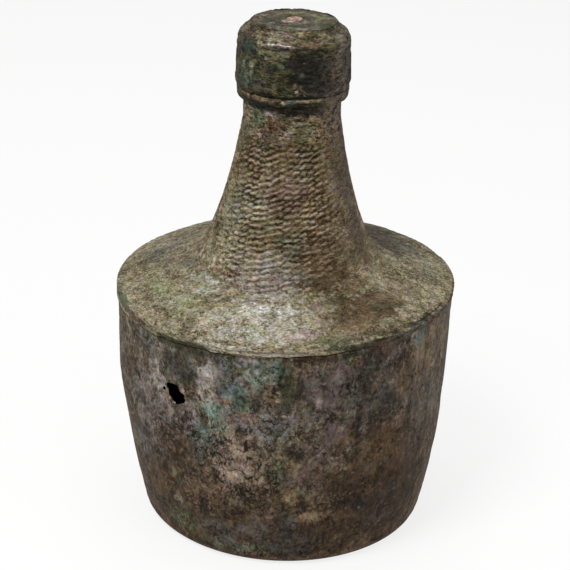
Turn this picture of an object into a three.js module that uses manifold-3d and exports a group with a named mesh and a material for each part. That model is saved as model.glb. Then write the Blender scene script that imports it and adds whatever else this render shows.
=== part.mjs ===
// Bronze flask with a lift-off cap, in millimetres, +Z up, standing on its base at the origin.
//
// A bowl raised from sheet bronze is closed by a second sheet piece, which is shoulder, neck and
// mouth tube in one. The edge of the shoulder is turned down over the drawn-in rim of the bowl, and
// the lap is run with solder from inside. A ring on the mouth tube stops the cast cap, which slides
// over the tube. A disc is riveted on top of the cap.

import * as THREE from 'three';
import { mergeVertices } from 'three/addons/utils/BufferGeometryUtils.js';
import Module from 'manifold-3d';

const wasm = await Module();
wasm.setup();

// Clearances
const seatGap = 0.3;
const capFit = 0.4;
const rivetFit = 0.3;

// Sheet bowl
const sheet = 1.4;
const bodyHeight = 103.3;
const baseRadius = 59.9;
const baseCorner = 5.7;
const wallFlareAtBase = 0.26;
const wallFlareAtTop = 0.05;

// Shoulder and its turned-down lip
const shoulderRadius = 70;
const lipDepth = 3.3;
const lipProud = 0.55;
const lipCorner = 1;
const shoulderRise = 10.4;
const solderLeg = 3;

// Neck and mouth tube
const neckFootRadius = 37;
const neckFillet = 12;
const neckHeight = 60.3;
const neckTaperAtFoot = 0.46;
const neckTaperAtThroat = 0.17;
const mouthRadius = 19.6;
const throatBlend = 4;
const throatLength = 13.1;
const spigotLength = 13.5;

// Stop ring
const ringHeight = 3.2;
const ringInset = 0.5;
const ringUndercut = 1.4;
const ringEdge = 0.8;

// Cap with its disc and rivet
const capWall = 3.05;
const capChamferHeight = 2.4;
const capChamferDepth = 0.55;
const capTaper = 0.6;
const capHeadroom = 6.4;
const capTopThickness = 3.4;
const capEdgeRadius = 4.8;
const capTopRise = 0.6;
const discRadius = 16.8;
const discThickness = 1.4;
const discCrown = 0.8;
const discEdge = 0.7;
const rivetRadius = 2;
const rivetHeadRadius = 3.3;
const rivetHeadThickness = 0.9;
const rivetTailThickness = 1.1;

// Age: the shoulder dips to one side, the wall is pushed out a little and the neck leans
const rimTilt = 2.5;
const bodyLean = -1.14;
const neckLean = 0.57;
const wallBulge = 1.55;
const bulgeHeight = 66;
const bulgeSpread = 18;

// Corroded hole through the wall, as [across, up] from its middle
const holeTurn = -127.7;
const holeHeight = 76;
const holeOutline = [
  [-4.7, 2.4], [-2.9, 3.7], [1.6, 3.8], [1.7, 1.4], [4.2, 0.3], [4.6, -2],
  [3.9, -2.8], [1.4, -4.3], [-1.4, -3.4], [-3.1, -2], [-3.3, 0.3],
];

// Smoothness of the round shapes
const flaskSteps = 64;
const capSteps = 48;
const rivetSteps = 24;

// Heights that follow from the sizes above
const footHeight = bodyHeight + shoulderRise;
const throatHeight = footHeight + neckHeight;
const ringTop = throatHeight + throatLength;
const mouthHeight = ringTop + spigotLength;
const capBottom = ringTop + seatGap;
const capCeiling = mouthHeight + capHeadroom;
const capTop = capCeiling + capTopThickness;
const capBore = mouthRadius + capFit;
const capRadius = capBore + capWall;
const discSeat = capTop + capTopRise;
const discBottom = discSeat + seatGap;

const bronze = { color: 0x4a4436, roughness: 0.75, metalness: 0.35 };
const paleBronze = { color: 0x6b6450, roughness: 0.8, metalness: 0.3 };
const darkBronze = { color: 0x3a3a2c, roughness: 0.65, metalness: 0.4 };
const copper = { color: 0x96705c, roughness: 0.6, metalness: 0.5 };
const solder = { color: 0x77777a, roughness: 0.6, metalness: 0.6 };

// An outline is a list of Vector2, x the radius and y the height
function point(radius, height) {
  return new THREE.Vector2(radius, height);
}

// A circular arc about a centre, from one angle to another in degrees
function arc(centre, radius, fromDegrees, toDegrees, steps) {
  const points = [];
  for (let i = 0; i <= steps; i += 1) {
    const angle = THREE.MathUtils.degToRad(fromDegrees + ((toDegrees - fromDegrees) * i) / steps);
    points.push(point(centre.x + radius * Math.cos(angle), centre.y + radius * Math.sin(angle)));
  }
  return points;
}

// A smooth wall between two points, whose slopes are the change of radius for each mm of height
function flare(from, to, slopeFrom, slopeTo, steps) {
  const height = to.y - from.y;
  const points = [];
  for (let i = 0; i <= steps; i += 1) {
    const t = i / steps;
    const radius = (2 * t ** 3 - 3 * t ** 2 + 1) * from.x
      + (t ** 3 - 2 * t ** 2 + t) * height * slopeFrom
      + (3 * t ** 2 - 2 * t ** 3) * to.x
      + (t ** 3 - t ** 2) * height * slopeTo;
    points.push(point(radius, from.y + height * t));
  }
  return points;
}

// The corner where two lines meet, rounded by an arc of points
function fillet(before, corner, after, radius, steps) {
  const into = corner.clone().sub(before).normalize();
  const out = after.clone().sub(corner).normalize();
  const turn = Math.acos(THREE.MathUtils.clamp(into.dot(out), -1, 1));
  const reach = radius * Math.tan(turn / 2);
  const start = corner.clone().addScaledVector(into, -reach);
  const end = corner.clone().addScaledVector(out, reach);
  const points = [];
  for (let i = 0; i <= steps; i += 1) {
    const t = i / steps;
    const a = start.clone().lerp(corner, t);
    const b = corner.clone().lerp(end, t);
    points.push(a.lerp(b, t));
  }
  return points;
}

// The other face of a sheet: the outline moved to its left by the sheet's thickness
function inside(outline, thickness) {
  return outline.map((here, i) => {
    const before = outline[Math.max(i - 1, 0)];
    const after = outline[Math.min(i + 1, outline.length - 1)];
    const into = i > 0 ? here.clone().sub(before).normalize() : after.clone().sub(here).normalize();
    const out = i < outline.length - 1 ? after.clone().sub(here).normalize() : into;
    const along = into.clone().add(out).normalize();
    const mitre = thickness / Math.max(along.dot(into), 0.6);
    return point(here.x - along.y * mitre, here.y + along.x * mitre);
  });
}

// An outline that starts and ends on the axis, turned about it
function turned(outline, steps) {
  const geometry = new THREE.LatheGeometry(outline, steps);
  geometry.rotateX(Math.PI / 2);
  return geometry;
}

// An outline that closes on itself, turned into a ring
function ringOf(outline, steps) {
  return turned([...outline, outline[0].clone()], steps);
}

function smoothstep(from, to, value) {
  return THREE.MathUtils.smoothstep(value, from, to);
}

// How far the body and neck have moved sideways at a height
function leanAt(height) {
  const body = bodyLean * smoothstep(0, bodyHeight, height);
  return body + neckLean * smoothstep(bodyHeight, throatHeight, height);
}

// The dents and leans of age, the same for every piece so that they still fit
function aged(geometry) {
  const position = geometry.getAttribute('position');
  for (let i = 0; i < position.count; i += 1) {
    const x = position.getX(i);
    const y = position.getY(i);
    const z = position.getZ(i);
    const radius = Math.hypot(x, y);
    const left = radius > 0 ? Math.max(-x / radius, 0) ** 2 : 0;
    const swell = wallBulge * left * Math.exp(-(((z - bulgeHeight) / bulgeSpread) ** 2));
    const tiltShare = smoothstep(0.1 * bodyHeight, bodyHeight, z)
      * (1 - smoothstep(footHeight, throatHeight, z));
    const tilt = (rimTilt / (2 * shoulderRadius)) * tiltShare;
    position.setX(i, x * (1 + swell / shoulderRadius) + leanAt(z));
    position.setZ(i, z + tilt * x);
  }
  geometry.computeVertexNormals();
  return geometry;
}

function toSolid(geometry) {
  const bare = geometry.clone();
  bare.deleteAttribute('normal');
  bare.deleteAttribute('uv');
  const merged = mergeVertices(bare);
  return new wasm.Manifold(new wasm.Mesh({
    numProp: 3,
    vertProperties: merged.getAttribute('position').array,
    triVerts: merged.index.array,
  }));
}

function fromSolid(solid) {
  const mesh = solid.getMesh();
  const geometry = new THREE.BufferGeometry();
  geometry.setAttribute('position', new THREE.BufferAttribute(mesh.vertProperties, 3));
  geometry.setIndex(new THREE.BufferAttribute(mesh.triVerts, 1));
  geometry.computeVertexNormals();
  return geometry;
}

function piece(name, geometry, look) {
  const mesh = new THREE.Mesh(geometry, new THREE.MeshStandardMaterial(look));
  mesh.name = name;
  return mesh;
}

// The shoulder's upper face as a straight cone, from the lip's corner to the foot of the neck
const lipTop = point(shoulderRadius - lipCorner, bodyHeight);
const neckFoot = point(neckFootRadius, footHeight);
const shoulderSlope = (neckFoot.y - lipTop.y) / (lipTop.x - neckFoot.x);

// Height of the shoulder's underside at a radius
function shoulderUnderside(radius) {
  return lipTop.y + (lipTop.x - radius) * shoulderSlope - sheet * Math.hypot(1, shoulderSlope);
}

const lipBottom = bodyHeight - lipDepth;
const lipInside = shoulderRadius - sheet;
const rimRadius = lipInside - seatGap;
const rimInside = rimRadius - sheet;
const rimTop = shoulderUnderside(rimRadius) - seatGap;

// Corroded hole: the ragged outline pushed through the wall from outside
function wallHole() {
  const shape = new THREE.Shape(holeOutline.map(([across, up]) => point(across, up)));
  const reach = shoulderRadius / 2;
  const cutter = new THREE.ExtrudeGeometry(shape, { depth: reach, bevelEnabled: false });
  const turn = THREE.MathUtils.degToRad(holeTurn);
  const outward = new THREE.Vector3(Math.cos(turn), Math.sin(turn), 0);
  const across = new THREE.Vector3(-Math.sin(turn), Math.cos(turn), 0);
  const up = new THREE.Vector3(0, 0, 1);
  const place = new THREE.Matrix4().makeBasis(across, up, outward);
  place.setPosition(outward.clone().multiplyScalar(shoulderRadius - reach / 2).setZ(holeHeight));
  cutter.applyMatrix4(place);
  return toSolid(cutter);
}

// Bowl: flat base, rounded corner, flared wall and a rim drawn in to go under the lip
function bodyShell() {
  const cornerCentre = point(baseRadius - baseCorner, baseCorner);
  const underLip = point(shoulderRadius - lipProud, lipBottom - seatGap - sheet / 2);
  const outer = [
    point(0, 0),
    ...arc(cornerCentre, baseCorner, -90, 0, 5),
    ...flare(point(baseRadius, baseCorner), underLip, wallFlareAtBase, wallFlareAtTop, 12).slice(1),
    point(rimRadius, lipBottom - seatGap / 2),
    point(rimRadius, rimTop),
  ];
  const inner = inside(outer, sheet);
  inner[0].setX(0);
  inner[inner.length - 1].setY(rimTop + (rimRadius - rimInside) * shoulderSlope);
  const geometry = aged(turned([...outer, ...inner.reverse()], flaskSteps));
  return fromSolid(toSolid(geometry).subtract(wallHole()));
}

// Shoulder, neck and mouth tube, raised from one sheet
function neckAndShoulder() {
  const throat = point(mouthRadius, throatHeight);
  const neckLine = point(neckFoot.x - neckTaperAtFoot, neckFoot.y + 1);
  const foot = fillet(lipTop, neckFoot, neckLine, neckFillet, 5);
  const outer = [
    point(shoulderRadius, lipBottom),
    ...arc(point(shoulderRadius - lipCorner, bodyHeight - lipCorner), lipCorner, 0, 70, 3),
    ...foot,
    ...flare(foot[foot.length - 1], throat, -neckTaperAtFoot, -neckTaperAtThroat, 9).slice(1, -1),
    ...fillet(
      point(mouthRadius + neckTaperAtThroat * throatBlend, throatHeight - throatBlend),
      throat,
      point(mouthRadius, throatHeight + throatBlend),
      throatBlend * 4,
      2,
    ),
    point(mouthRadius, mouthHeight),
  ];
  const inner = inside(outer, sheet);
  const lipCornerInside = point(lipInside, shoulderUnderside(lipInside));
  const above = inner.filter((p) => p.x < lipCornerInside.x && p.y > lipCornerInside.y);
  const underside = [point(lipInside, lipBottom), lipCornerInside, ...above];
  underside[underside.length - 1].setY(mouthHeight);
  return aged(ringOf([...outer, ...underside.reverse()], flaskSteps));
}

// Solder run into the inner corner between the bowl's rim and the shoulder
function seamSolder() {
  const radius = rimInside - seatGap;
  const outline = [
    point(radius, rimTop - solderLeg),
    point(radius, shoulderUnderside(radius) - seatGap),
    point(radius - solderLeg, shoulderUnderside(radius - solderLeg) - seatGap),
  ];
  return aged(ringOf(outline, flaskSteps));
}

// Ring round the mouth tube that the cap comes down on
function stopRing() {
  const bore = mouthRadius + seatGap;
  const outside = capRadius - capChamferDepth - ringInset;
  const bottom = ringTop - ringHeight;
  const outline = [
    point(bore, bottom - ringUndercut / 2),
    point(bore + ringEdge, bottom - ringUndercut / 2),
    point(outside - ringEdge / 2, bottom + ringUndercut),
    ...arc(point(outside - ringEdge, ringTop - ringEdge), ringEdge, 0, 90, 3),
    point(bore, ringTop),
  ];
  return aged(ringOf(outline, capSteps));
}

// Thick cast cup that slides over the mouth tube, with a bevelled lower edge
function capShell() {
  const top = capRadius - capTaper;
  const edgeCentre = point(top - capEdgeRadius, capTop - capEdgeRadius);
  const hole = rivetRadius + rivetFit;
  const outline = [
    point(capBore, capBottom),
    point(capRadius - capChamferDepth, capBottom),
    point(capRadius, capBottom + capChamferHeight),
    ...arc(edgeCentre, capEdgeRadius, 0, 75, 6),
    point(discRadius, discSeat),
    point(hole, discSeat),
    point(hole, capCeiling),
    point(capBore - 1, capCeiling),
    point(capBore, capCeiling - 1),
  ];
  return aged(ringOf(outline, capSteps));
}

// Low crowned disc on top of the cap, countersunk for the rivet
function capDisc() {
  const hole = rivetRadius + rivetFit;
  const sink = rivetHeadRadius + rivetFit;
  const top = discBottom + discThickness;
  const floor = top + discCrown - rivetHeadThickness - seatGap;
  const outline = [
    point(hole, discBottom),
    point(discRadius - discEdge, discBottom),
    point(discRadius, discBottom + discEdge),
    point(discRadius - discEdge, top),
    point(discRadius * 0.6, top + discCrown * 0.7),
    point(sink, top + discCrown),
    point(sink, floor),
    point(hole, floor),
  ];
  return aged(ringOf(outline, capSteps));
}

// Copper rivet through the disc and the cap, its tail spread under the ceiling
function capRivet() {
  const headTop = discBottom + discThickness + discCrown;
  const tailTop = capCeiling - seatGap;
  const outline = [
    point(0, tailTop - rivetTailThickness),
    point(rivetHeadRadius - rivetFit, tailTop - rivetTailThickness),
    point(rivetHeadRadius, tailTop),
    point(rivetRadius, tailTop),
    point(rivetRadius, headTop - rivetHeadThickness),
    point(rivetHeadRadius, headTop - rivetHeadThickness),
    point(rivetHeadRadius, headTop - rivetFit),
    point(rivetHeadRadius - rivetFit, headTop),
    point(0, headTop),
  ];
  return aged(turned(outline, rivetSteps));
}

const flask = new THREE.Group();
flask.add(piece('body_shell', bodyShell(), bronze));
flask.add(piece('neck_and_shoulder', neckAndShoulder(), paleBronze));
flask.add(piece('seam_solder', seamSolder(), solder));
flask.add(piece('stop_ring', stopRing(), bronze));

const cap = new THREE.Group();
cap.add(piece('cap_shell', capShell(), darkBronze));
cap.add(piece('cap_disc', capDisc(), darkBronze));
cap.add(piece('cap_rivet', capRivet(), copper));
flask.add(cap);

export default flask;
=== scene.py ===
"""Looks of a bronze flask with a lift-off cap, built piece by piece round the frame of its solids.

The bowl, the shoulder with its chased neck, the stop ring and the riveted cap are turned as fine
skins from the sizes below, worn by Geometry Nodes, stained and covered with patina.
Lengths are in metres, written as millimetres times MM. A turn is in degrees round the upright
axis: 0 is the object's right, -90 its front and -180 its left.
"""

import math

import bpy
import numpy as np
from bpy.props import FloatProperty, FloatVectorProperty, IntProperty, PointerProperty
from mathutils import Color, Matrix, Vector


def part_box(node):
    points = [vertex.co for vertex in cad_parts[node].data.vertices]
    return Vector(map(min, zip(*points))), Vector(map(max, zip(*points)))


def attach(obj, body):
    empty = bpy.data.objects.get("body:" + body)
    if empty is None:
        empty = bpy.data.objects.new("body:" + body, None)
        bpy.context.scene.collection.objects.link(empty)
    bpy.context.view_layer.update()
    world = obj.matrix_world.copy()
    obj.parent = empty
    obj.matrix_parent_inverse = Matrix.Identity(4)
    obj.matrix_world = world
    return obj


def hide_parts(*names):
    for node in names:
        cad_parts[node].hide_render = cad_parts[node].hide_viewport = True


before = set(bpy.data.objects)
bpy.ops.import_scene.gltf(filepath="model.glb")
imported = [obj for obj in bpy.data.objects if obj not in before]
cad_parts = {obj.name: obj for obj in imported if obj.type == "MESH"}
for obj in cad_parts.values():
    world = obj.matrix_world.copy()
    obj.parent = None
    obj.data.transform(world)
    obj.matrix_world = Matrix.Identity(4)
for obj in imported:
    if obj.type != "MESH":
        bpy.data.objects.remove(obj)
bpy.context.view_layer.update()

bl_info = {
    "name": "Bronze flask",
    "version": (1, 0, 0),
    "blender": (4, 5, 0),
    "location": "3D View > Sidebar > Flask",
    "description": "Builds a patinated bronze flask with a chased neck and a lift-off cap",
    "category": "Object",
}

MM = 0.001
PER_MM = 1000
FULL_TURN = 2 * math.pi

# Points round each skin
COLUMNS = {
    "bowl": 480,
    "neck_and_shoulder_skin": 320,
    "stop_ring_bead": 256,
    "cap": 300,
    "cap_disc_plate": 260,
    "cap_rivet_head": 96,
}

# Depth and size of a skin's dents, depth and size of its grains, in mm, and a factor on the seed
WEAR = {
    "bowl": (0.3, 22, 0.28, 3, 1),
    "neck_and_shoulder_skin": (0.25, 15, 0.3, 2.6, 2),
    "stop_ring_bead": (0.25, 5, 0.15, 1.6, 3),
    "cap": (0.5, 7, 0.3, 2, 4),
    "cap_disc_plate": (0.3, 6, 0.12, 1.8, 5),
    "cap_rivet_head": (0.2, 2.5, 0.12, 1.8, 5),
}

# An edge that bends by more than this many degrees is shown sharp
SHARP_ANGLE = 48

# How shiny the patina is, on the shader's own scale, and how deep its bumps are
SHINE = 0.12
BUMP_DEPTH = 0.3 * MM

# Waves of the lip's edge and of the ring: each one's height in mm, how many go round, its start
LIP_WAVES = ((0.15, 7, 1), (0.12, 13, 0), (0.12, 29, 2), (0.08, 47, 0))
RING_WAVES = ((0.12, 5, 0), (0.1, 11, 2), (0.06, 23, 0))

# The lip is turned this deep and then bent to its uneven edge, which the bowl's wall follows
# from this far below
LIP_REACH = 3.3 * MM
JOGGLE_REACH = 14 * MM

# The lip is pressed on to the wall on the right and in one narrow place, whose turn is in radians,
# so the wall comes up higher there
PRESSED_TURN = -1.73
PRESSED_SHARPNESS = 60
PRESSED_RISE = 0.3 * MM

# The chased strokes fade out from this turn on, in radians from the front towards the right
SMOOTH_TURN = 0.32

# The ring's bead is turned this much wider than its solid, and has an edge of this radius
RING_PROUD = 0.45 * MM
RING_EDGE = 0.7 * MM

# How much shorter the disc is at its back
DISC_CUT = 2.6 * MM

# A stain ends at this many times its half size, and is full inside this share of it. Its outline
# is shifted by a few waves of this size in mm, by this share of its half size.
STAIN_END = 1.6
STAIN_FULL = 0.5
STAIN_WOBBLE = 7
STAIN_UNEVEN = 0.22
WOBBLE_WAVES = 9

# The camera looks at a height on the axis from over the front; its angles are in degrees
CAMERA_TARGET = 99.2 * MM
CAMERA_ELEVATION = 24.22
CAMERA_DISTANCE = 744 * MM
CAMERA_ROLL = 1.69
CAMERA_LENS = 112.8
CAMERA_SHIFT = -0.00586

# The floor's side in metres, how much of it glows for the camera, and how strong the world is
FLOOR_SIZE = 4
FLOOR_GLOW = 0.8
WORLD_LIGHT = 0.42

# Each lamp has its place, its size and its power in watts, and all look at one point
LAMPS = {
    "key": ((-0.45, -0.6, 1.25), 0.45, 11),
    "fill": ((0.9, -0.8, 0.5), 0.8, 2.5),
    "top": ((0.0, 0.1, 1.3), 0.6, 4),
}
LAMP_AIM = (0, 0, 0.1)

# Corroded hole in the bowl, as [across, up] from its middle in mm, seen from outside
HOLE_OUTLINE = [
    (-4.5, 2.6), (-2.8, 3.6), (-1, 3.7), (0.8, 3.9), (2, 3.8), (2, 2.4), (3.2, 1.4),
    (5, 0.9), (5, -0.4), (5.5, -1.3), (5, -2.4), (3.2, -3.4), (1.7, -4.2), (0.7, -4.3),
    (-0.5, -3.4), (-1.7, -2.3), (-2.9, -1.8), (-3.1, -0.4), (-3.4, 1), (-4.2, 1.6),
]
PIN_HOLE = (-5.7, 0.4)

# Way out of the hole: it runs slantwise through the wall, forwards and up, that far either way
HOLE_WAY = (0.06, -0.88, 0.47)
HOLE_REACH = 8 * MM

# Middle of the part of the bowl that is crossed by fine cracks, in mm
CRACKLED = (-20, -65, 50)

# Stains of each colour, and among them some painted shade, painted highlights and painted sheen,
# which are marked where they stand. A stain has its turn, its run up the wall, half its width and
# half its height in mm, and how much of the ground it covers. On the bowl and the ring the run is
# the height above the piece's foot. On the other pieces it is how far the place is above the
# piece's outer edge, and how far inside it, added together. The neck's table holds the shoulder's
# stains too.
BOWL_STAINS_AND_PAINTED_LIGHT = {
    "chalk": [(-137, 79, 4.5, 7, 0.95), (-115.5, 87, 4, 9, 0.9)],
    "slate": [
        (-139, 92, 4, 5, 0.6), (-121, 92, 2, 5, 0.7), (-110, 98, 4, 3, 0.6), (-92, 67, 8, 5, 0.6),
        (-72, 87, 2.4, 5, 0.6), (-110, 90, 3, 5, 0.8), (-151, 42, 5, 8, 0.6), (-119, 57, 6, 5, 0.9),
        (-110, 8, 10, 4, 0.6), (-104, 96.4, 6, 1.6, 0.9), (-66.5, 81, 4.5, 4, 0.7),
        (-121, 50, 6, 5, 0.4),
    ],
    "lilac": [
        (-138, 71, 8, 7, 0.7), (-147, 67, 7, 13, 0.55), (-105.6, 71, 6, 4, 0.8),
        (-112, 55, 3.2, 5.5, 0.8), (-80, 91, 4, 4, 0.5), (-143, 62, 9, 16, 0.45), (-133, 65, 6, 8, 0.6),
        (-124, 65, 6, 8, 0.9), (-97, 68, 6, 5, 0.6),
    ],
    "ash": [
        (-127, 89, 7, 6, 0.85), (-60, 82, 14, 14, 0.5), (-82, 13, 8, 3, 0.6), (-54, 75, 7, 9, 0.4),
        (-87, 22, 4, 6, 0.7), (-88, 8, 10, 3.5, 0.8), (-112.5, 96.2, 2.6, 1.6, 0.6),
        (-84, 16, 12, 4, 0.5),
    ],
    "soot_and_painted_shade": [
        (-136, 91, 2.5, 2.5, 0.6), (-86, 83, 1.5, 4, 0.6), (-90, 78, 3, 2.5, 0.6),
        (-120, 23, 2, 5, 0.6), (-88, 11, 5, 4, 0.6), (-84, 85, 2.2, 4, 0.7), (-59, 96, 6, 4, 0.9),
        (-64, 65, 1.2, 12, 0.6), (-52, 72, 4, 6, 0.5), (-67, 39, 5, 3, 0.6), (-66.5, 99, 4, 1.6, 0.8),
    ],
    "olive": [
        (-125, 92, 2, 4, 0.6), (-99, 50, 3.4, 7, 0.4), (-84, 58, 5, 5, 0.4), (-118, 8, 14, 4, 0.4),
        (-106, 34, 8, 4, 0.35),
    ],
    "moss_dark": [
        (-124, 86, 4, 3, 0.7), (-88.5, 88, 3.5, 10, 0.75), (-131, 97.9, 9, 1.6, 0.95),
        (-118, 97.4, 7, 1.4, 0.8), (-123, 81.5, 2.5, 2.5, 0.7), (-70, 98.6, 5, 2, 1),
        (-104, 99, 9, 0.9, 0.9),
    ],
    "bone": [(-115, 83, 2.2, 6, 0.8)],
    "rose": [(-115.5, 80, 3.6, 4.5, 0.9)],
    "stone": [
        (-114, 83, 2, 5, 0.7), (-124, 72, 3, 2, 0.6), (-132, 24, 3, 2, 0.75), (-93, 73.8, 7, 0.5, 0.7),
        (-66, 80.5, 3, 0.5, 0.7),
    ],
    "ochre": [
        (-131.5, 75, 1.4, 3, 0.6), (-80, 26, 8, 2.4, 0.8), (-86, 37, 4, 4, 0.6),
        # Turn -33, run 89: partly painted sheen, lighter where the light grazes the bowl's upper right
        (-33, 89, 11, 13, 0.55), (-70, 67, 1.6, 1.2, 0.8), (-94, 81, 4, 4, 0.5),
    ],
    "teal_grey": [
        (-107, 90, 3, 4, 0.6), (-108, 83, 4, 4, 0.7), (-114, 59, 5, 2.4, 0.7), (120, 85, 20, 9, 0.55),
        (-39, 97, 3, 4.5, 0.8),
    ],
    "teal_light": [
        (-97, 93, 8, 5, 0.6), (-113, 73, 5, 4.5, 0.85), (-106, 76, 6, 1.4, 0.6), (-101, 87, 6, 5, 0.5),
        (-92.5, 95.9, 3, 2, 0.7),
    ],
    "deep_teal": [(-91, 94, 1.5, 3, 0.95), (-119.5, 62, 1.6, 2, 0.9), (-104, 80, 2.5, 3, 0.6)],
    "apricot": [(-95, 84, 2, 4, 0.5), (-107, 54, 9, 9, 0.8), (-106, 46, 10, 8, 0.6)],
    "rust": [
        (-94, 88, 2.2, 3, 0.5), (-101, 72, 4, 3, 0.6), (-113, 57, 2.4, 1.2, 0.8),
        (-114, 35, 6, 4.5, 0.8), (-81, 95, 5, 1.8, 0.6), (-100, 84, 2, 3, 0.7),
    ],
    "teal": [(-118.5, 64, 4, 4, 0.6), (-104, 80, 6, 4, 0.5)],
    "sage": [(-112, 66, 4, 4, 0.7)],
    "slate_brown": [
        (-96, 76.6, 5.5, 2, 0.7), (-113, 15, 9, 5, 0.8), (-99.6, 18, 7, 5, 0.7), (-32, 65, 11, 15, 0.6),
        (-144, 46, 10, 8, 0.5), (40, 70, 24, 18, 0.5), (-111, 84, 3, 5, 0.5), (-98, 82, 6, 4, 0.6),
        (-84, 72, 7, 5, 0.7),
    ],
    "umber": [
        (-128, 53, 13, 7, 0.6), (-46, 82, 7, 8, 0.5), (-156, 78, 7, 11, 0.5), (10, 25, 20, 9, 0.5),
        (-78, 99.2, 11, 1.2, 0.7), (-50, 45, 20, 16, 0.6), (-68.5, 61, 6, 5, 0.5),
        (-137, 32, 4, 4, 0.6), (-59, 37, 5, 5, 0.7), (-64, 21, 6, 6, 0.8), (-52.5, 56.4, 5, 8, 0.8),
        (-78, 48, 10, 5, 0.35),
    ],
    "ochre_dark": [
        (-138, 27, 11, 6, 0.7), (-66, 95, 3, 2, 0.6), (-56, 52, 10, 7, 0.5), (160, 40, 20, 14, 0.5),
    ],
    "taupe": [
        (-105, 36, 7, 5, 0.8), (-70, 100, 9, 2, 0.7), (-107, 89, 4, 4, 0.6), (-40, 80, 9, 12, 0.5),
        (-39, 48, 6, 9, 0.7), (-103, 50, 9, 4, 0.5),
    ],
    "plum_dark": [(-78, 84, 8, 9, 0.6), (-47, 30, 9, 5, 0.6), (-60, 27, 7, 6, 0.6)],
    "sand": [(-78, 79, 1.6, 2.4, 0.7)],
    "rust_dark": [(-58, 101, 4, 2, 0.7), (-56, 98, 4, 3, 0.8), (-76, 24, 7, 5, 0.5)],
    "umber_dark": [
        (-62, 80, 4, 5, 0.6), (-68, 17, 6, 5, 0.5), (-48, 28, 26, 22, 0.75), (-95, 20, 40, 10, 0.4),
        (95, 45, 26, 16, 0.5), (-71, 38, 6, 4, 0.6), (-74, 9.5, 12, 5, 0.9), (-75, 19, 8, 4.5, 0.9),
        (-69.5, 43, 7, 5, 0.6), (-56, 62, 6, 9, 0.5), (-139, 35, 6, 5, 0.5),
    ],
    "plum": [
        (-79, 56, 8, 6, 0.6), (-50, 18, 7, 5, 0.5), (-84, 44.5, 8, 5, 0.5), (-71, 91, 6, 5, 0.9),
        (-74, 80, 7, 6, 0.9), (-70.5, 66, 6, 6, 0.8), (-49, 95, 5, 4, 0.6),
    ],
    "khaki": [(-156, 91, 5, 4, 0.5)],
    # White: painted highlight on the lit cut edge at the hole's lower left
    "white": [(-128.4, 71.2, 1.3, 0.8, 1)],
    "blush": [(-130.6, 73.5, 1, 1.6, 0.7), (-125, 78.4, 1.3, 2, 0.95), (-101.5, 98.6, 3, 1.2, 0.9)],
    "green": [(-92, 48, 5, 6, 0.4), (-131, 14, 12, 6, 0.4), (-98, 8, 10, 4, 0.35)],
}

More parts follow.
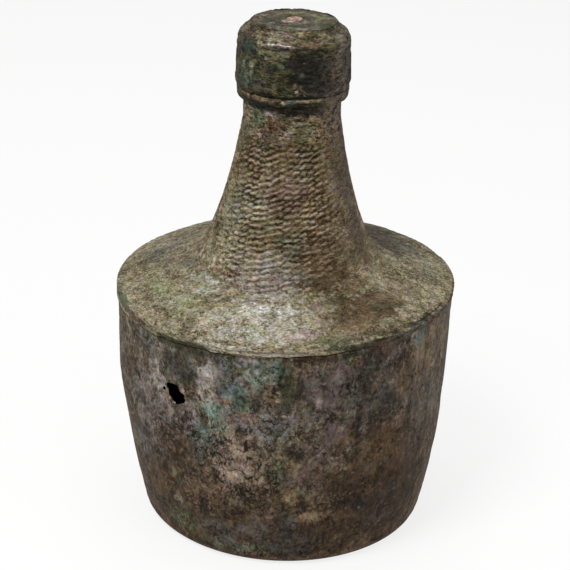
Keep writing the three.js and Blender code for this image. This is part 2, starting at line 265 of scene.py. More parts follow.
NECK_STAINS_AND_PAINTED_LIGHT = {
    "bone": [
        (-100, 18, 20, 12, 0.75), (-92, -2.4, 6, 0.6, 0.9), (-107, 9, 10, 6, 1),
        (-109, -0.6, 12, 1.5, 0.9), (-143, 18, 8, 6, 0.5), (-103, 38, 10, 3, 0.7),
        (-114, 102.7, 2.1, 4.2, 0.35), (-131.7, 37.5, 8, 4, 0.7),
    ],
    "white": [(-97, 29, 14, 5, 0.4)],
    "sand": [
        (-118, 16, 13, 9, 0.75), (-26, 38, 5, 5, 0.6), (-83.5, 21, 8, 5, 0.8), (-144, 6, 7, 3, 0.5),
        (-172, 46, 6, 6, 0.6), (-149, 33, 7, 5, 0.6), (-120, 37, 10, 3, 0.8), (-30, 27, 7, 6, 0.5),
        (-127, 77, 6, 15, 0.6), (-106, 54, 12, 10, 0.5), (-108, 76, 6, 5, 0.4), (-77, 104, 5, 6, 0.5),
    ],
    "apricot": [
        (-114, 7.9, 5.6, 3, 0.4), (-72, 27, 3.4, 3.8, 0.6), (-127, 117.3, 1.9, 1.3, 0.8),
        (-98, 93, 11, 5.3, 0.35),
    ],
    "lichen": [
        (-138, 18, 16, 7, 0.6), (-136, 20, 4, 3.8, 0.8), (-160, 19, 13, 6, 0.5), (-149, 86, 6, 6, 0.6),
    ],
    "mint": [
        (-148, 38, 3, 5, 0.7), (-134, 32, 4, 4, 0.6), (-82, 110, 2, 0.9, 0.8),
        (-133, 87.6, 3.3, 2.7, 0.5), (-94, 68.8, 2.7, 1.4, 0.55),
    ],
    "slate": [(-205, 22, 20, 10, 0.25), (-190, 17, 9, 6, 0.6), (-168, 38, 4, 6, 0.5)],
    "taupe": [
        (-225, 16, 26, 12, 0.3), (-99, -1.5, 15, 0.35, 0.8), (90, 18, 26, 14, 0.6),
        # Taupe at turn -24 is partly painted sheen, the smooth grey-brown strip down the neck's right
        (-200, 8, 12, 4, 0.4), (-153, 118, 3, 6, 0.5), (-24, 98, 9, 24, 0.85), (-24, 64, 7, 13, 0.8),
        (-38, 127, 7, 6, 0.8), (60, 90, 16, 26, 0.5),
    ],
    "green": [(-160, -0.6, 8, 2.6, 0.9), (-135, 124, 3.6, 3.6, 0.75), (-66, 111, 2.2, 1, 0.6)],
    "straw": [
        (-143, 3, 9, 3, 0.6), (-14, 11, 8, 5, 0.6), (-158, 49, 6, 6, 0.6), (-140, 20, 8, 5, 0.4),
        (-4, 30, 7, 6, 0.7), (6.7, 12, 8, 6, 0.5), (-132, 36, 10, 4, 0.7), (-69, 27, 5, 4, 0.6),
        (-147, 56, 8, 9, 0.5), (-139, 64, 9, 12, 0.6), (-150, 75, 7, 6, 0.5), (-98, 80, 12, 6, 0.4),
    ],
    "moss_dark": [
        (-126, 10, 2.6, 2, 0.6), (-117, 19, 4, 1.8, 0.5), (-64, 32, 5.6, 3.8, 0.6),
        (-66, 21, 4.7, 5, 0.4), (-46, 22, 2.6, 2, 0.95), (-42, 17, 6, 3, 0.5), (-182, -1.5, 12, 2, 0.8),
        (-67, 4, 13, 3, 0.6), (115, 24, 12, 8, 0.4), (-68, -0.6, 9, 1.3, 0.9), (-70, -2.6, 6, 0.8, 1),
        (-181, 4, 3, 3, 0.5), (-33, 3.6, 3, 1, 0.9), (-44, 3.2, 4, 1, 0.7), (-128, -3.6, 10, 1.1, 1),
        (-119, -2.8, 6, 1.3, 1), (-72.5, 0.4, 5, 1.8, 0.8), (-45.5, 20.4, 4.6, 3, 1),
        (-158, 67, 3.6, 8, 0.5), (-88, 61.5, 4.1, 7.9, 0.4),
    ],
    "umber": [
        (-54, 23, 2.7, 2.4, 0.85), (-48, 29, 3.6, 5, 0.4), (-56, 22, 24, 11, 0.55),
        (-8, -0.7, 18, 1.6, 0.9), (-113, 121, 4, 3, 0.7), (-56, 49, 6, 6, 0.5),
    ],
    # Cream: painted highlights, two thin light lines along the lip's front edge
    "cream": [(-104, -2.3, 12, 0.45, 0.9), (-91, -1.8, 10, 0.45, 0.8)],
    "rose": [
        (-98, -0.6, 20, 0.5, 0.6), (-84, 11, 8, 5, 0.9), (-113, 127, 3, 1.4, 0.5),
        (-99, 119, 3.4, 3.6, 0.5),
    ],
    "slate_brown": [
        (-36, -0.7, 21, 1.6, 1), (50, 24, 40, 16, 0.7), (22, 30, 10, 8, 0.7), (-178, 27, 8, 5, 0.5),
    ],
    "rust_dark": [(-158, -1.5, 14, 1.5, 0.7), (-148, -3, 9, 1.5, 0.8), (-56, -1.5, 4, 1.2, 1)],
    "khaki": [
        (-29, 23, 11, 8, 0.55), (-186, 11, 9, 7, 0.5), (-74, 8, 5, 3, 0.8), (-148, 95, 8, 6, 0.7),
        (-20, 51, 3, 9, 0.6), (-114, 71, 9, 6, 0.7), (-65, 107, 7, 6, 0.8), (-150, 85, 7, 6, 0.8),
        (-90, 73, 8, 6, 0.6), (-40, 58, 7, 7, 0.6), (-114, 72, 7, 5, 0.7), (-89, 66, 6, 8, 0.5),
    ],
    "sage": [(0, 13, 7, 6, 0.5), (22, 19, 9, 4, 0.5), (-144, 77, 5, 7, 0.75), (-81, 47.6, 5, 4.8, 0.4)],
    "ash": [(62, 28, 26, 13, 0.65)],
    "ochre_dark": [
        (-50, 6, 14, 3, 0.5), (-50, 22, 16, 8, 0.5), (-62, 50, 14, 15, 0.4), (-92, 115, 6, 3, 0.6),
        (-67.5, 44, 7, 3.5, 0.7),
    ],
    "umber_dark": [(-61, -1.4, 6, 1.4, 1), (-86, -3.3, 11, 0.5, 0.8), (-66, 44, 6.5, 5.6, 0.3)],
    "moss": [(-76, 6.4, 8, 3.5, 0.7)],
    "ochre": [
        (-62.6, 13, 8, 4, 0.7), (-54, 15, 4, 3, 0.8), (-91, 108, 7, 4.5, 1), (-66, 62.5, 8, 6, 0.8),
        (-47, 38.6, 7, 4, 0.7), (-50, 104, 14, 8, 0.6), (-35, 113, 6, 8, 0.5),
    ],
    "olive": [
        (8, 41, 4, 3, 0.6), (-79, 118.5, 3.8, 4, 0.7), (-136, 62, 3, 7, 0.3), (130, 70, 12, 16, 0.5),
        (-150, 113, 5, 7, 0.6),
    ],
    "soot_and_painted_shade": [
        (-36, 2.1, 19, 0.6, 1), (-57.5, 0.2, 5, 0.6, 1), (-64.5, -1.6, 5, 0.6, 1),
        # Turn -68, run 128.6: painted shadow on the mouth tube under the stop ring
        (-98, 125, 3, 1.2, 0.6), (-68, 128.6, 6, 2, 0.9),
    ],
    "teal_grey": [(-40, -0.4, 3, 1.2, 0.9)],
    "lilac": [(-205, 27, 10, 7, 0.4), (-107, 57, 5.2, 2.6, 0.5)],
    "rust": [
        (-142, 109.5, 2.5, 3, 0.9), (-86, 112, 3.2, 1, 0.9), (-67, 108.4, 3.5, 0.9, 0.7),
        (-90, 104.5, 1.9, 7, 0.5), (-88, 92, 8, 7, 0.5), (-30, 114, 7, 8, 0.5), (-91, 82.6, 6, 6, 0.7),
    ],
    "deep_teal": [(-119, 112, 4, 1.8, 0.5)],
    "plum": [(-115, 117, 3.4, 2.7, 0.7)],
    "lilac_pale": [(-108, 49, 8, 3.6, 0.7), (-110, 50, 12, 9, 0.5), (-112, 43, 8, 4, 0.9)],
    "chalk": [(-100, 46, 12, 13, 0.5)],
    # Black: painted shadow on the mouth tube under the stop ring
    "black": [(-118, 129.6, 13, 2, 1), (-90, 129.4, 12, 2, 1), (-150, 130.5, 8, 1.7, 1)],
    "stone": [(-135, 84, 8, 10, 0.5), (-92, 58, 8, 8, 0.4), (-84, 67, 8, 4, 0.4)],
}

RING_STAINS_AND_PAINTED_LIGHT = {
    # Black: painted shade along the ring's lower edge, which faces away from the light
    "black": [(-137, 0.3, 13, 1.6, 1), (-92, -0.2, 16, 1.4, 1)],
    # Ochre, sage, cream and khaki near the top: partly painted highlight where the bead catches light
    "ochre": [(-126, 3.4, 12, 0.8, 1)],
    "sage": [(-90, 3.5, 4, 0.7, 0.8)],
    "cream": [(-98, 2.6, 1.5, 1, 1)],
    "teal": [(-92, 3, 1.5, 0.9, 0.7)],
    "rose": [(-124, 3, 1.6, 0.8, 0.6)],
    "khaki": [(-73, 3.5, 8, 0.7, 1)],
    "soot_and_painted_shade": [(-82, 2.2, 10, 0.8, 0.7)],
    "taupe": [(-40, 3, 8, 5, 1)],
}

CAP_STAINS_AND_PAINTED_LIGHT = {
    "moss_dark": [
        (-150, 9, 4.5, 7, 0.9), (-112, 5, 4.8, 1.9, 0.5), (140, 12, 9, 8, 0.5), (-106, 14.3, 3, 2, 0.7),
        (-131, 7.7, 3, 3, 0.6),
    ],
    "mint": [(-148, 11, 1.2, 1.8, 0.6), (-137, 12, 1.1, 1.2, 0.6), (-135, 9, 0.8, 1.2, 0.6)],
    "sage": [(-143, 9, 1, 1.4, 0.7), (-118, 16.3, 0.9, 0.7, 0.6), (-141, 6, 2.4, 2.4, 0.6)],
    "green": [(-144, 14, 0.9, 1.3, 0.7), (-102, 13.5, 1.2, 1, 0.8), (-145, 5.5, 3.4, 3.4, 0.7)],
    "deep_teal": [(-143, 5, 5, 2, 0.7), (-142, 19, 3.8, 2.7, 0.75)],
    "olive": [
        (-134, 14, 2.5, 2, 0.7), (-107, 2.4, 1.6, 1.2, 0.8), (-63, 31, 5.8, 2.3, 0.5),
        (-52, 21.4, 3.1, 1.5, 0.6), (-111.5, 5, 3, 2, 0.7), (-41, 24.3, 3, 2, 0.6),
    ],
    "moss": [
        (-114, 18.4, 5, 1.2, 0.8), (-103, 18.6, 3.4, 1.8, 0.7), (-120, 8.5, 1.6, 1.2, 0.6),
        (-127, 17, 1.6, 1.2, 0.5),
    ],
    "straw": [(-125, 22, 1.9, 1.4, 0.45), (-82, 31.5, 1.2, 1.4, 0.8)],
    # Black at runs 0.7 and 0.8 is painted shade in the gap over the ring; the rest are dark spots
    "black": [
        (-76, 11, 7, 7, 0.8), (-74, 18, 5, 1.6, 0.7), (-124, 0.8, 20, 0.8, 1), (-88, 0.7, 14, 0.7, 1),
        (-111, 24.2, 1.5, 0.9, 1), (-68, 26.3, 1.2, 1.1, 1), (-93, 14.3, 2.4, 2.2, 0.8),
    ],
    # Taupe on the right is partly painted sheen, where the light grazes the cap's side
    "taupe": [(-32, 10, 7, 10, 0.65), (-30, 2, 6, 2.4, 0.7), (60, 12, 9, 8, 0.5)],
    "plum_dark": [(-54, 5, 5, 3, 0.7), (-103, 20.6, 1.9, 0.7, 0.9)],
    "stone": [(-82, 10.4, 1.1, 0.8, 0.6)],
    "ochre": [(-88, 6.3, 0.9, 1.3, 0.6), (-78.8, 23.7, 2, 1.4, 0.7)],
    "cream": [(-86, 3.4, 0.9, 0.8, 0.6)],
    # White: painted highlight, a thin streak along the cap's upper edge at the front
    "white": [(-106, 22.6, 4.6, 0.3, 0.9)],
    # The lilac mark at run 21.8 is part of that painted highlight
    "lilac": [(-104, 21.8, 6, 0.5, 0.7), (-104, 29, 3.5, 2.3, 0.7), (-31, 20.6, 3, 3, 0.6)],
    "rose": [(-111, 24.4, 2.9, 2.1, 0.5)],
    "rust_dark": [(-70, 23.8, 3.2, 2.3, 0.8)],
    "khaki": [
        (-90, 27, 28, 4, 0.5), (-63, 31, 3.4, 2, 0.6), (-112, 16, 2.4, 1.4, 0.6),
        (-46, 21.8, 2, 1.2, 0.6),
    ],
    "plum": [(-34, 27.7, 4.1, 2.2, 0.6)],
    "soot_and_painted_shade": [
        (-42, 23.8, 3.1, 0.7, 0.8), (-86.5, 13, 3.6, 4, 0.8), (-112, 11.5, 3, 2, 0.7),
        (-61, 14, 4, 3, 0.6), (-59, 0.5, 3, 1.5, 0.6),
    ],
    "ash": [(-153, 24.4, 3, 2.4, 0.7), (-52, 13.5, 3, 3, 0.6), (-64, 4.6, 4, 2.2, 0.8)],
    "slate": [(-35, 15.5, 3.4, 3, 0.5), (-38, 0.8, 4, 1.6, 0.8)],
    "slate_brown": [(-122, 5.3, 3.6, 2.4, 0.8), (-51.5, 1.6, 3, 2, 0.7), (-35, 7, 4, 5, 0.6)],
    "ochre_dark": [(-136, 0.8, 4.4, 1.6, 0.8)],
}

DISC_STAINS = {
    "moss_dark": [
        (-28, 4, 6, 5, 0.7), (90, 6, 10, 3, 0.6), (-80, 9, 30, 14, 0.35), (-200, 12, 6, 4, 0.6),
        (60, 14, 5, 4, 0.6),
    ],
    "soot_and_painted_shade": [(-62, 7, 5, 2, 0.5), (-136, 8, 8, 7, 0.4)],
    "khaki": [(100, 9, 9, 4, 0.4)],
    "copper": [(-125, 13.6, 2.6, 1.6, 0.7)],
    "sage": [(-68, 12, 4, 0.7, 0.7), (-98, 5, 8, 1.6, 0.6)],
    "moss": [(10, 7, 7, 5, 0.5)],
    "ochre_dark": [(-155, 3, 2, 4, 0.5)],
}


def half_width(node):
    """Radius of a round node, from its box"""
    low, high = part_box(node)
    return (high.x - low.x) / 2


def underside(node):
    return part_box(node)[0].z


def top(node):
    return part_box(node)[1].z


def length(name, description, default):
    """A size in metres that a user can change"""
    return FloatProperty(
        name=name, description=description, default=default, unit="LENGTH", precision=5
    )


def share(name, description, default):
    """A plain number that a user can change"""
    return FloatProperty(name=name, description=description, default=default)


def tint(name, description, red, green, blue):
    """A colour that a user can change, written as it looks on a screen, from 0 to 255"""
    default = (red / 255, green / 255, blue / 255)
    return FloatVectorProperty(
        name=name, description=description, default=default, subtype="COLOR_GAMMA", min=0, max=1
    )


class FlaskSizes(bpy.types.PropertyGroup):
    """Sizes of the metal, as the solids have them"""

    sheet: length("Sheet", "Thickness of the sheet bronze", 1.4 * MM)
    gap: length("Gap", "Clearance between two pieces that touch", 0.3 * MM)
    body_height: length("Body height", "Height of the shoulder's outer edge", 103.3 * MM)
    base_radius: length("Base radius", "Radius of the flat base with its corner", 59.9 * MM)
    base_corner: length("Base corner", "Radius of the corner under the wall", 5.7 * MM)
    flare_low: share("Flare at base", "Slope of the wall at the base", 0.26)
    flare_high: share("Flare at rim", "Slope of the wall at the rim", 0.05)
    shoulder_radius: length("Shoulder radius", "Radius over the lip", half_width("neck_and_shoulder"))
    shoulder_rise: length("Shoulder rise", "Height of the shoulder's cone", 10.4 * MM)
    lip_corner: length("Lip corner", "Radius of the bend into the lip", 1 * MM)
    lip_depth: length("Lip depth", "Mean height of the lip", 3.2 * MM)
    lip_change: length("Lip change", "How much deeper the lip is on the left", 1.6 * MM)
    lip_proud: length("Lip proud", "How far the lip stands out from the wall", 0.55 * MM)
    foot_radius: length("Neck foot radius", "Radius where the neck meets the shoulder", 37 * MM)
    foot_fillet: length("Neck fillet", "Radius of the curve at the neck's foot", 12 * MM)
    neck_height: length("Neck height", "Height of the flared neck", 60.3 * MM)
    taper_low: share("Taper at foot", "Slope of the neck at its foot", 0.46)
    taper_high: share("Taper at throat", "Slope of the neck at its throat", 0.17)
    mouth_radius: length("Mouth radius", "Radius of the mouth tube", 19.6 * MM)
    mouth_top: length("Mouth height", "Height of the tube's upper edge", top("neck_and_shoulder"))
    throat_blend: length("Throat blend", "Reach of the curve at the throat", 4 * MM)
    ring_radius: length("Ring radius", "Radius over the stop ring", half_width("stop_ring"))
    ring_bottom: length("Ring bottom", "Height of the ring's lower edge", underside("stop_ring"))
    ring_top: length("Ring top", "Height of the ring's upper face", top("stop_ring"))
    cap_radius: length("Cap radius", "Radius over the cap", half_width("cap_shell"))
    cap_bottom: length("Cap bottom", "Height of the cap's lower edge", underside("cap_shell"))
    cap_top: length("Cap top", "Height that the disc is seated at", top("cap_shell"))
    cap_bore: length("Cap bore", "Radius of the cap's hollow", 20 * MM)
    cap_ceiling: length("Cap ceiling", "Height of the hollow's flat end", 207 * MM)
    cap_edge: length("Cap edge", "Radius of the cap's upper edge", 4.8 * MM)
    cap_taper: length("Cap taper", "How much narrower the cap is above", 0.6 * MM)
    disc_radius: length("Disc radius", "Radius of the riveted disc", half_width("cap_disc"))
    disc_bottom: length("Disc bottom", "Height of the disc's underside", underside("cap_disc"))
    disc_top: length("Disc top", "Height of the disc's crown", top("cap_disc"))
    rivet_radius: length("Rivet radius", "Radius of the rivet's shank", 2 * MM)
    rivet_head: length("Rivet head", "Radius of the rivet's head", half_width("cap_rivet"))


class FlaskAge(bpy.types.PropertyGroup):
    """Dents, wear and chased strokes"""

    rim_tilt: length("Rim tilt", "How far the shoulder dips on one side", 2.5 * MM)
    body_lean: length("Body lean", "Sideways shift at the shoulder", -1.14 * MM)
    neck_lean: length("Neck lean", "Shift of the throat from the shoulder", 0.57 * MM)
    bulge: length("Bulge", "Swelling of the wall on the left", 1.55 * MM)
    bulge_height: length("Bulge height", "Height of the swelling", 66 * MM)
    bulge_spread: length("Bulge spread", "Half height of the swelling", 18 * MM)
    hole_turn: share("Hole turn", "Where the corroded hole is, in degrees", -129)
    hole_radius: length("Hole radius", "How far the hole's middle is from the axis", 69.2 * MM)
    hole_height: length("Hole height", "Height of the hole's middle", 75.1 * MM)
    pin_radius: length("Pin hole", "Radius of the small hole beside it", 0.6 * MM)
    stroke_columns: IntProperty(name="Columns", description="Strokes round the neck", default=50, min=4)
    stroke_pitch: length("Stroke pitch", "Height from one stroke to the next above it", 2.3 * MM)
    stroke_depth: length("Stroke depth", "How deep the chasing is", 0.45 * MM)
    stroke_slant: share("Stroke slant", "Rise of a stroke, in pitches, for two columns", 0.75)
    seed: IntProperty(name="Seed", description="Changes the wear", default=7)


class FlaskColours(bpy.types.PropertyGroup):
    """Colours of the patina and of the stains in it"""

    bowl_dark: tint("Bowl, dark", "Hollows of the bowl", 31, 25, 17)
    bowl_middle: tint("Bowl, middle", "Most of the bowl", 80, 67, 53)
    bowl_light: tint("Bowl, light", "Rubbed parts of the bowl", 134, 119, 98)
    neck_dark: tint("Neck, dark", "Recesses between the strokes", 50, 35, 14)
    neck_middle: tint("Neck, middle", "Most of the neck", 121, 102, 75)
    neck_light: tint("Neck, light", "Ridges of the strokes", 180, 163, 139)
    shoulder_dark: tint("Shoulder, dark", "Pits of the shoulder", 58, 54, 36)
    shoulder_middle: tint("Shoulder, middle", "Most of the shoulder", 134, 123, 97)
    shoulder_light: tint("Shoulder, light", "Crust of the shoulder", 187, 179, 157)
    cap_dark: tint("Cap, dark", "Hollows of the cap", 17, 16, 9)
    cap_middle: tint("Cap, middle", "Most of the cap", 44, 40, 28)
    cap_light: tint("Cap, light", "Rubbed parts of the cap", 100, 92, 64)
    copper: tint("Copper", "Head of the rivet", 165, 138, 126)
    solder: tint("Solder", "Run of solder inside", 110, 110, 108)
    floor: tint("Floor", "Floor under the flask", 244, 244, 243)
    # White also makes painted highlights on the cap's edge and at the hole
    white: tint("White", "Whitest crust", 204, 204, 198)
    bone: tint("Bone", "Pale crust", 174, 170, 154)
    chalk: tint("Chalk", "Grey crust", 150, 143, 134)
    stone: tint("Stone", "Grey flecks", 132, 125, 112)
    sand: tint("Sand", "Warm crust", 158, 148, 124)
    straw: tint("Straw", "Yellowish crust", 151, 142, 115)
    # Cream also makes painted highlights on the lip's edge and on the ring
    cream: tint("Cream", "Small bright spots", 190, 175, 153)
    rose: tint("Rose", "Pinkish crust", 148, 134, 124)
    blush: tint("Blush", "Freshly broken edge", 148, 123, 118)
    apricot: tint("Apricot", "Orange-pink crust", 136, 119, 104)
    amber: tint("Amber", "Yellow-brown spots", 122, 94, 56)
    rust: tint("Rust", "Orange-brown spots", 105, 85, 70)
    rust_dark: tint("Dark rust", "Red-brown spots", 90, 67, 54)
    # Ochre also makes partly painted highlight on the ring and sheen on the bowl
    ochre: tint("Ochre", "Yellow-brown crust", 115, 97, 72)
    ochre_dark: tint("Dark ochre", "Brown with a yellow cast", 88, 72, 50)
    umber: tint("Umber", "Plain brown", 77, 57, 38)
    umber_dark: tint("Dark umber", "Dark brown", 48, 36, 24)
    khaki: tint("Khaki", "Olive brown, light", 118, 107, 80)
    olive: tint("Olive", "Olive green", 88, 83, 56)
    moss: tint("Moss", "Yellow-green", 106, 104, 78)
    moss_dark: tint("Dark moss", "Dark green", 58, 58, 38)
    lichen: tint("Lichen", "Pale yellow-green", 138, 138, 104)
    green: tint("Green", "Plain green", 81, 89, 67)
    sage: tint("Sage", "Grey-green", 119, 122, 107)
    mint: tint("Mint", "Pale green", 155, 161, 144)
    teal: tint("Teal", "Blue-green", 84, 101, 90)
    teal_light: tint("Light teal", "Pale blue-green", 108, 122, 110)
    teal_grey: tint("Grey teal", "Grey with a blue cast", 88, 98, 94)
    deep_teal: tint("Deep teal", "Dark blue-green", 46, 60, 50)
    slate: tint("Slate", "Cool grey", 96, 96, 89)
    slate_brown: tint("Brown slate", "Brown grey", 82, 75, 67)
    lilac: tint("Lilac", "Violet grey", 116, 106, 100)
    lilac_pale: tint("Pale lilac", "Pale violet grey", 146, 132, 124)
    plum: tint("Plum", "Violet brown", 80, 68, 64)
    plum_dark: tint("Dark plum", "Dark violet brown", 52, 44, 42)
    # Taupe also makes partly painted sheen on the right of the neck and cap
    taupe: tint("Taupe", "Grey brown", 92, 80, 68)
    ash: tint("Ash", "Dark grey", 58, 54, 49)
    # Soot also makes painted shadow under the stop ring
    soot_and_painted_shade: tint("Soot", "Nearly black brown", 40, 36, 29)
    # Black also makes painted shade under and over the stop ring
    black: tint("Black", "Nearly black", 24, 24, 20)


def chosen(sockets, key):
    """A socket by its place, its identifier or its name"""
    if isinstance(key, int):
        return sockets[key]
    return next((s for s in sockets if s.identifier == key), None) or sockets[key]


class Wire:
    """A socket of a node tree. Python's operators on it add Math nodes."""

    def __init__(self, graph, socket):
        self.graph = graph
        self.socket = socket

    def maths(self, operation, *values):
        return self.graph.node("ShaderNodeMath", {"operation": operation}, dict(enumerate(values)))

    def __add__(self, other):
        return self.maths("ADD", self, other)

    def __radd__(self, other):
        return self.maths("ADD", other, self)

    def __sub__(self, other):
        return self.maths("SUBTRACT", self, other)

    def __rsub__(self, other):
        return self.maths("SUBTRACT", other, self)

    def __mul__(self, other):
        return self.maths("MULTIPLY", self, other)

    def __rmul__(self, other):
        return self.maths("MULTIPLY", other, self)

    def __truediv__(self, other):
        return self.maths("DIVIDE", self, other)

    def __rtruediv__(self, other):
        return self.maths("DIVIDE", other, self)

    def __pow__(self, other):
        return self.maths("POWER", self, other)

    def floor(self):
        return self.maths("FLOOR", self)

    def fraction(self):
        return self.maths("FRACT", self)

    def unsigned(self):
        return self.maths("ABSOLUTE", self)

    def larger(self, other):
        return self.maths("MAXIMUM", self, other)

    def held(self):
        """The value kept between 0 and 1"""
        return self.graph.node("ShaderNodeClamp", inputs={"Value": self})

    def ramp(self, low, high):
        """0 below low and 1 above high, with a smooth rise between; falls if low is the higher"""
        inputs = {"Value": self, "From Min": low, "From Max": high}
        return self.graph.node("ShaderNodeMapRange", {"interpolation_type": "SMOOTHSTEP"}, inputs)

    def vector_maths(self, operation, other, output=0):
        inputs = {0: self, 1: other}
        return self.graph.node("ShaderNodeVectorMath", {"operation": operation}, inputs, output)

    def moved(self, other):
        """A vector with another one added"""
        return self.vector_maths("ADD", other)

    def times(self, other):
        """A vector with each number multiplied by the other's"""
        return self.vector_maths("MULTIPLY", other)

    def distance(self, other):
        return self.vector_maths("DISTANCE", other, "Value")

    def dot(self, other):
        return self.vector_maths("DOT_PRODUCT", other, "Value")

    def scaled(self, factor):
        """A vector or colour made longer or brighter"""
        inputs = {0: self, "Scale": factor}
        return self.graph.node("ShaderNodeVectorMath", {"operation": "SCALE"}, inputs)

    def part(self, axis):
        """One of a vector's numbers: X, Y or Z"""
        return self.graph.node("ShaderNodeSeparateXYZ", inputs={0: self}, output=axis)


class Graph:
    """A node tree that is written as expressions"""

    def __init__(self, tree):
        self.tree = tree

    def node(self, kind, settings=None, inputs=None, output=0):
        """Adds a node, sets it up, then fills its sockets with values or links"""
        node = self.tree.nodes.new(kind)
        for name, value in (settings or {}).items():
            if name == "stops":
                self.set_stops(node.color_ramp.elements, value)
            else:
                setattr(node, name, value)
        for name, value in (inputs or {}).items():
            socket = chosen(node.inputs, name)
            if isinstance(value, Wire):
                self.tree.links.new(value.socket, socket)
            else:
                socket.default_value = value
        return Wire(self, chosen(node.outputs, output)) if len(node.outputs) else node

    def set_stops(self, elements, stops):
        while len(elements) < len(stops):
            elements.new(1)
        for element, (position, colour) in zip(elements, stops):
            element.position = position
            element.color = colour

    def combined(self, *numbers):
        """A vector of up to three numbers"""
        return self.node("ShaderNodeCombineXYZ", inputs=dict(enumerate(numbers)))

    def noise(self, place, size, detail=4, roughness=0.6, output="Fac"):
        """Cloudy noise around 0.5, whose largest clouds have that size in the place's units"""
        inputs = {"Vector": place, "Scale": 1 / size, "Detail": detail, "Roughness": roughness}
        return self.node("ShaderNodeTexNoise", inputs=inputs, output=output)

    def cells(self, place, size, feature="F1", output="Distance"):
        """Cells of about that size: the distance to the cell's middle or edge, or its own colour"""
        inputs = {"Vector": place, "Scale": 1 / size}
        return self.node("ShaderNodeTexVoronoi", {"feature": feature}, inputs, output)

    def luck(self, place):
        """A random number from 0 to 1 for each place"""
        return self.node("ShaderNodeTexWhiteNoise", inputs={"Vector": place}, output="Value")

    def cloud(self, place, size, detail=3, roughness=0.6):
        """Noise that mostly stays between -1 and 1"""
        return (self.noise(place, size, detail, roughness) - 0.5) * 6

    def warped(self, place, size, reach):
        """A place shifted by noise, so that a pattern on it turns uneven"""
        shift = self.noise(place, size, 2, output="Color").moved((-0.5, -0.5, -0.5))
        return place.moved(shift.scaled(5 * reach))

    def creases(self, place, size, width):
        """Thin meandering lines, 1 on a line and 0 beside it"""
        return (self.noise(place, size, 2) - 0.5).unsigned().ramp(width, 0)

    def attribute(self, name, output):
        """A value that is stored on the mesh"""
        return self.node("ShaderNodeAttribute", {"attribute_name": name}, output=output)

    def mix(self, factor, first, second):
        inputs = {"Factor_Float": factor, "A_Color": first, "B_Color": second}
        return self.node("ShaderNodeMix", {"data_type": "RGBA"}, inputs, "Result_Color")


def linear(colour):
    """A screen colour as the light that it stands for, with alpha"""
    return (*Color(colour).from_srgb_to_scene_linear(), 1)


class Finish(Graph):
    """A patina that is built up in layers on one material. Its sizes are in mm."""

    def __init__(self, name, upright):
        """Makes the material, whose grains are upright times as tall as wide"""
        self.material = bpy.data.materials.new(name)
        self.material.use_nodes = True
        super().__init__(self.material.node_tree)
        self.tree.nodes.clear()
        self.place = self.node("ShaderNodeTexCoord", output="Object").scaled(PER_MM)
        self.grain_place = self.place.times((1, 1, 1 / upright))
        self.rough_place = self.warped(self.grain_place, 8, 1.2)

    def named(self, name):
        """A colour of the panel by its name, as light"""
        return linear(getattr(bpy.context.scene.flask_colours, name))

    def tone(self, clouds, blotches, grains, sizes=(22, 6, 1.5)):
        """Light and dark around 0.5, in clouds, blotches and grains of those weights"""
        fine = self.cloud(self.grain_place, sizes[2], 3, 0.85) * grains
        middle = self.cloud(self.rough_place, sizes[1], 5, 0.75).ramp(-0.9, 0.9) * 2 - 1
        return fine + middle * blotches + self.cloud(self.rough_place, sizes[0]) * clouds + 0.5

    def coloured(self, tone, dark, middle, light):
        stops = [(0.2, self.named(dark)), (0.5, self.named(middle)), (0.8, self.named(light))]
        return self.node("ShaderNodeValToRGB", {"stops": stops}, {"Fac": tone}, "Color")

    def shaded(self, colour, tone):
        """A colour made darker and lighter by the tone, its blue more than its red"""
        bright = tone.larger(0.05) * 2
        return self.combined(bright**1.2, bright**1.3, bright**1.5).times(colour)

    def in_tone(self, name, tone):
        """A named colour made darker and lighter by the tone"""
        return self.shaded(self.named(name)[:3], tone)

    def tinged(self, base, tone, *drifts):
        """Drifts of colours, each with its size, threshold, strength and shift of the noise"""
        for name, size, threshold, strength, shift in drifts:
            drift = self.cloud(self.rough_place.moved((shift, shift * 2, -shift)), size, 5, 0.75)
            cover = drift.ramp(threshold, threshold + 0.5) * strength
            base = self.mix(cover, base, self.in_tone(name, tone))
        return base

    def mottled(self, base, size, strength):
        """The colour with a hue that wanders a little from place to place"""
        hues = self.noise(self.rough_place.moved((2, 6, -4)), size, 3, 0.65, output="Color")
        shift = hues.moved((-0.5, -0.5, -0.5)).times((1, 0.7, 1.7))
        return base.times(shift.scaled(strength).moved((1, 1, 1)))

    def stained(self, base, tone, size, strength=0.9):
        """The listed stains, painted shade and painted highlights, broken up by noise of that size"""
        cover = self.attribute("stain", "Alpha")
        broken = self.cloud(self.rough_place.moved((7, -3, 5)), size, 5, 0.85)
        mask = (cover + broken * 0.4).ramp(0.2, 0.8) * cover.ramp(0, 0.25) * strength
        return self.mix(mask, base, self.shaded(self.attribute("stain", "Color"), tone))

    def flecked(self, base, name, size, share_of_cells, strength):
        """Small spots of a colour in some of the cells"""
        chance = self.cells(self.rough_place, size, output="Color").part("X")
        spot = self.cells(self.rough_place, size).ramp(0.45, 0.2)
        chosen_cells = chance.ramp(1 - share_of_cells, 1.01 - share_of_cells)
        return self.mix(chosen_cells * spot * strength, base, self.named(name))

    def done(self, colour, relief, roughness, metallic):
        """The material, ended by its shader with bumps"""
        inputs = {"Height": relief, "Distance": BUMP_DEPTH}
        bump = self.node("ShaderNodeBump", inputs=inputs, output="Normal")
        inputs = {
            "Base Color": colour,
            "Roughness": roughness,
            "Metallic": metallic,
            "Normal": bump,
            "Specular IOR Level": SHINE,
        }
        shader = self.node("ShaderNodeBsdfPrincipled", inputs=inputs)
        self.node("ShaderNodeOutputMaterial", inputs={"Surface": shader})
        return self.material


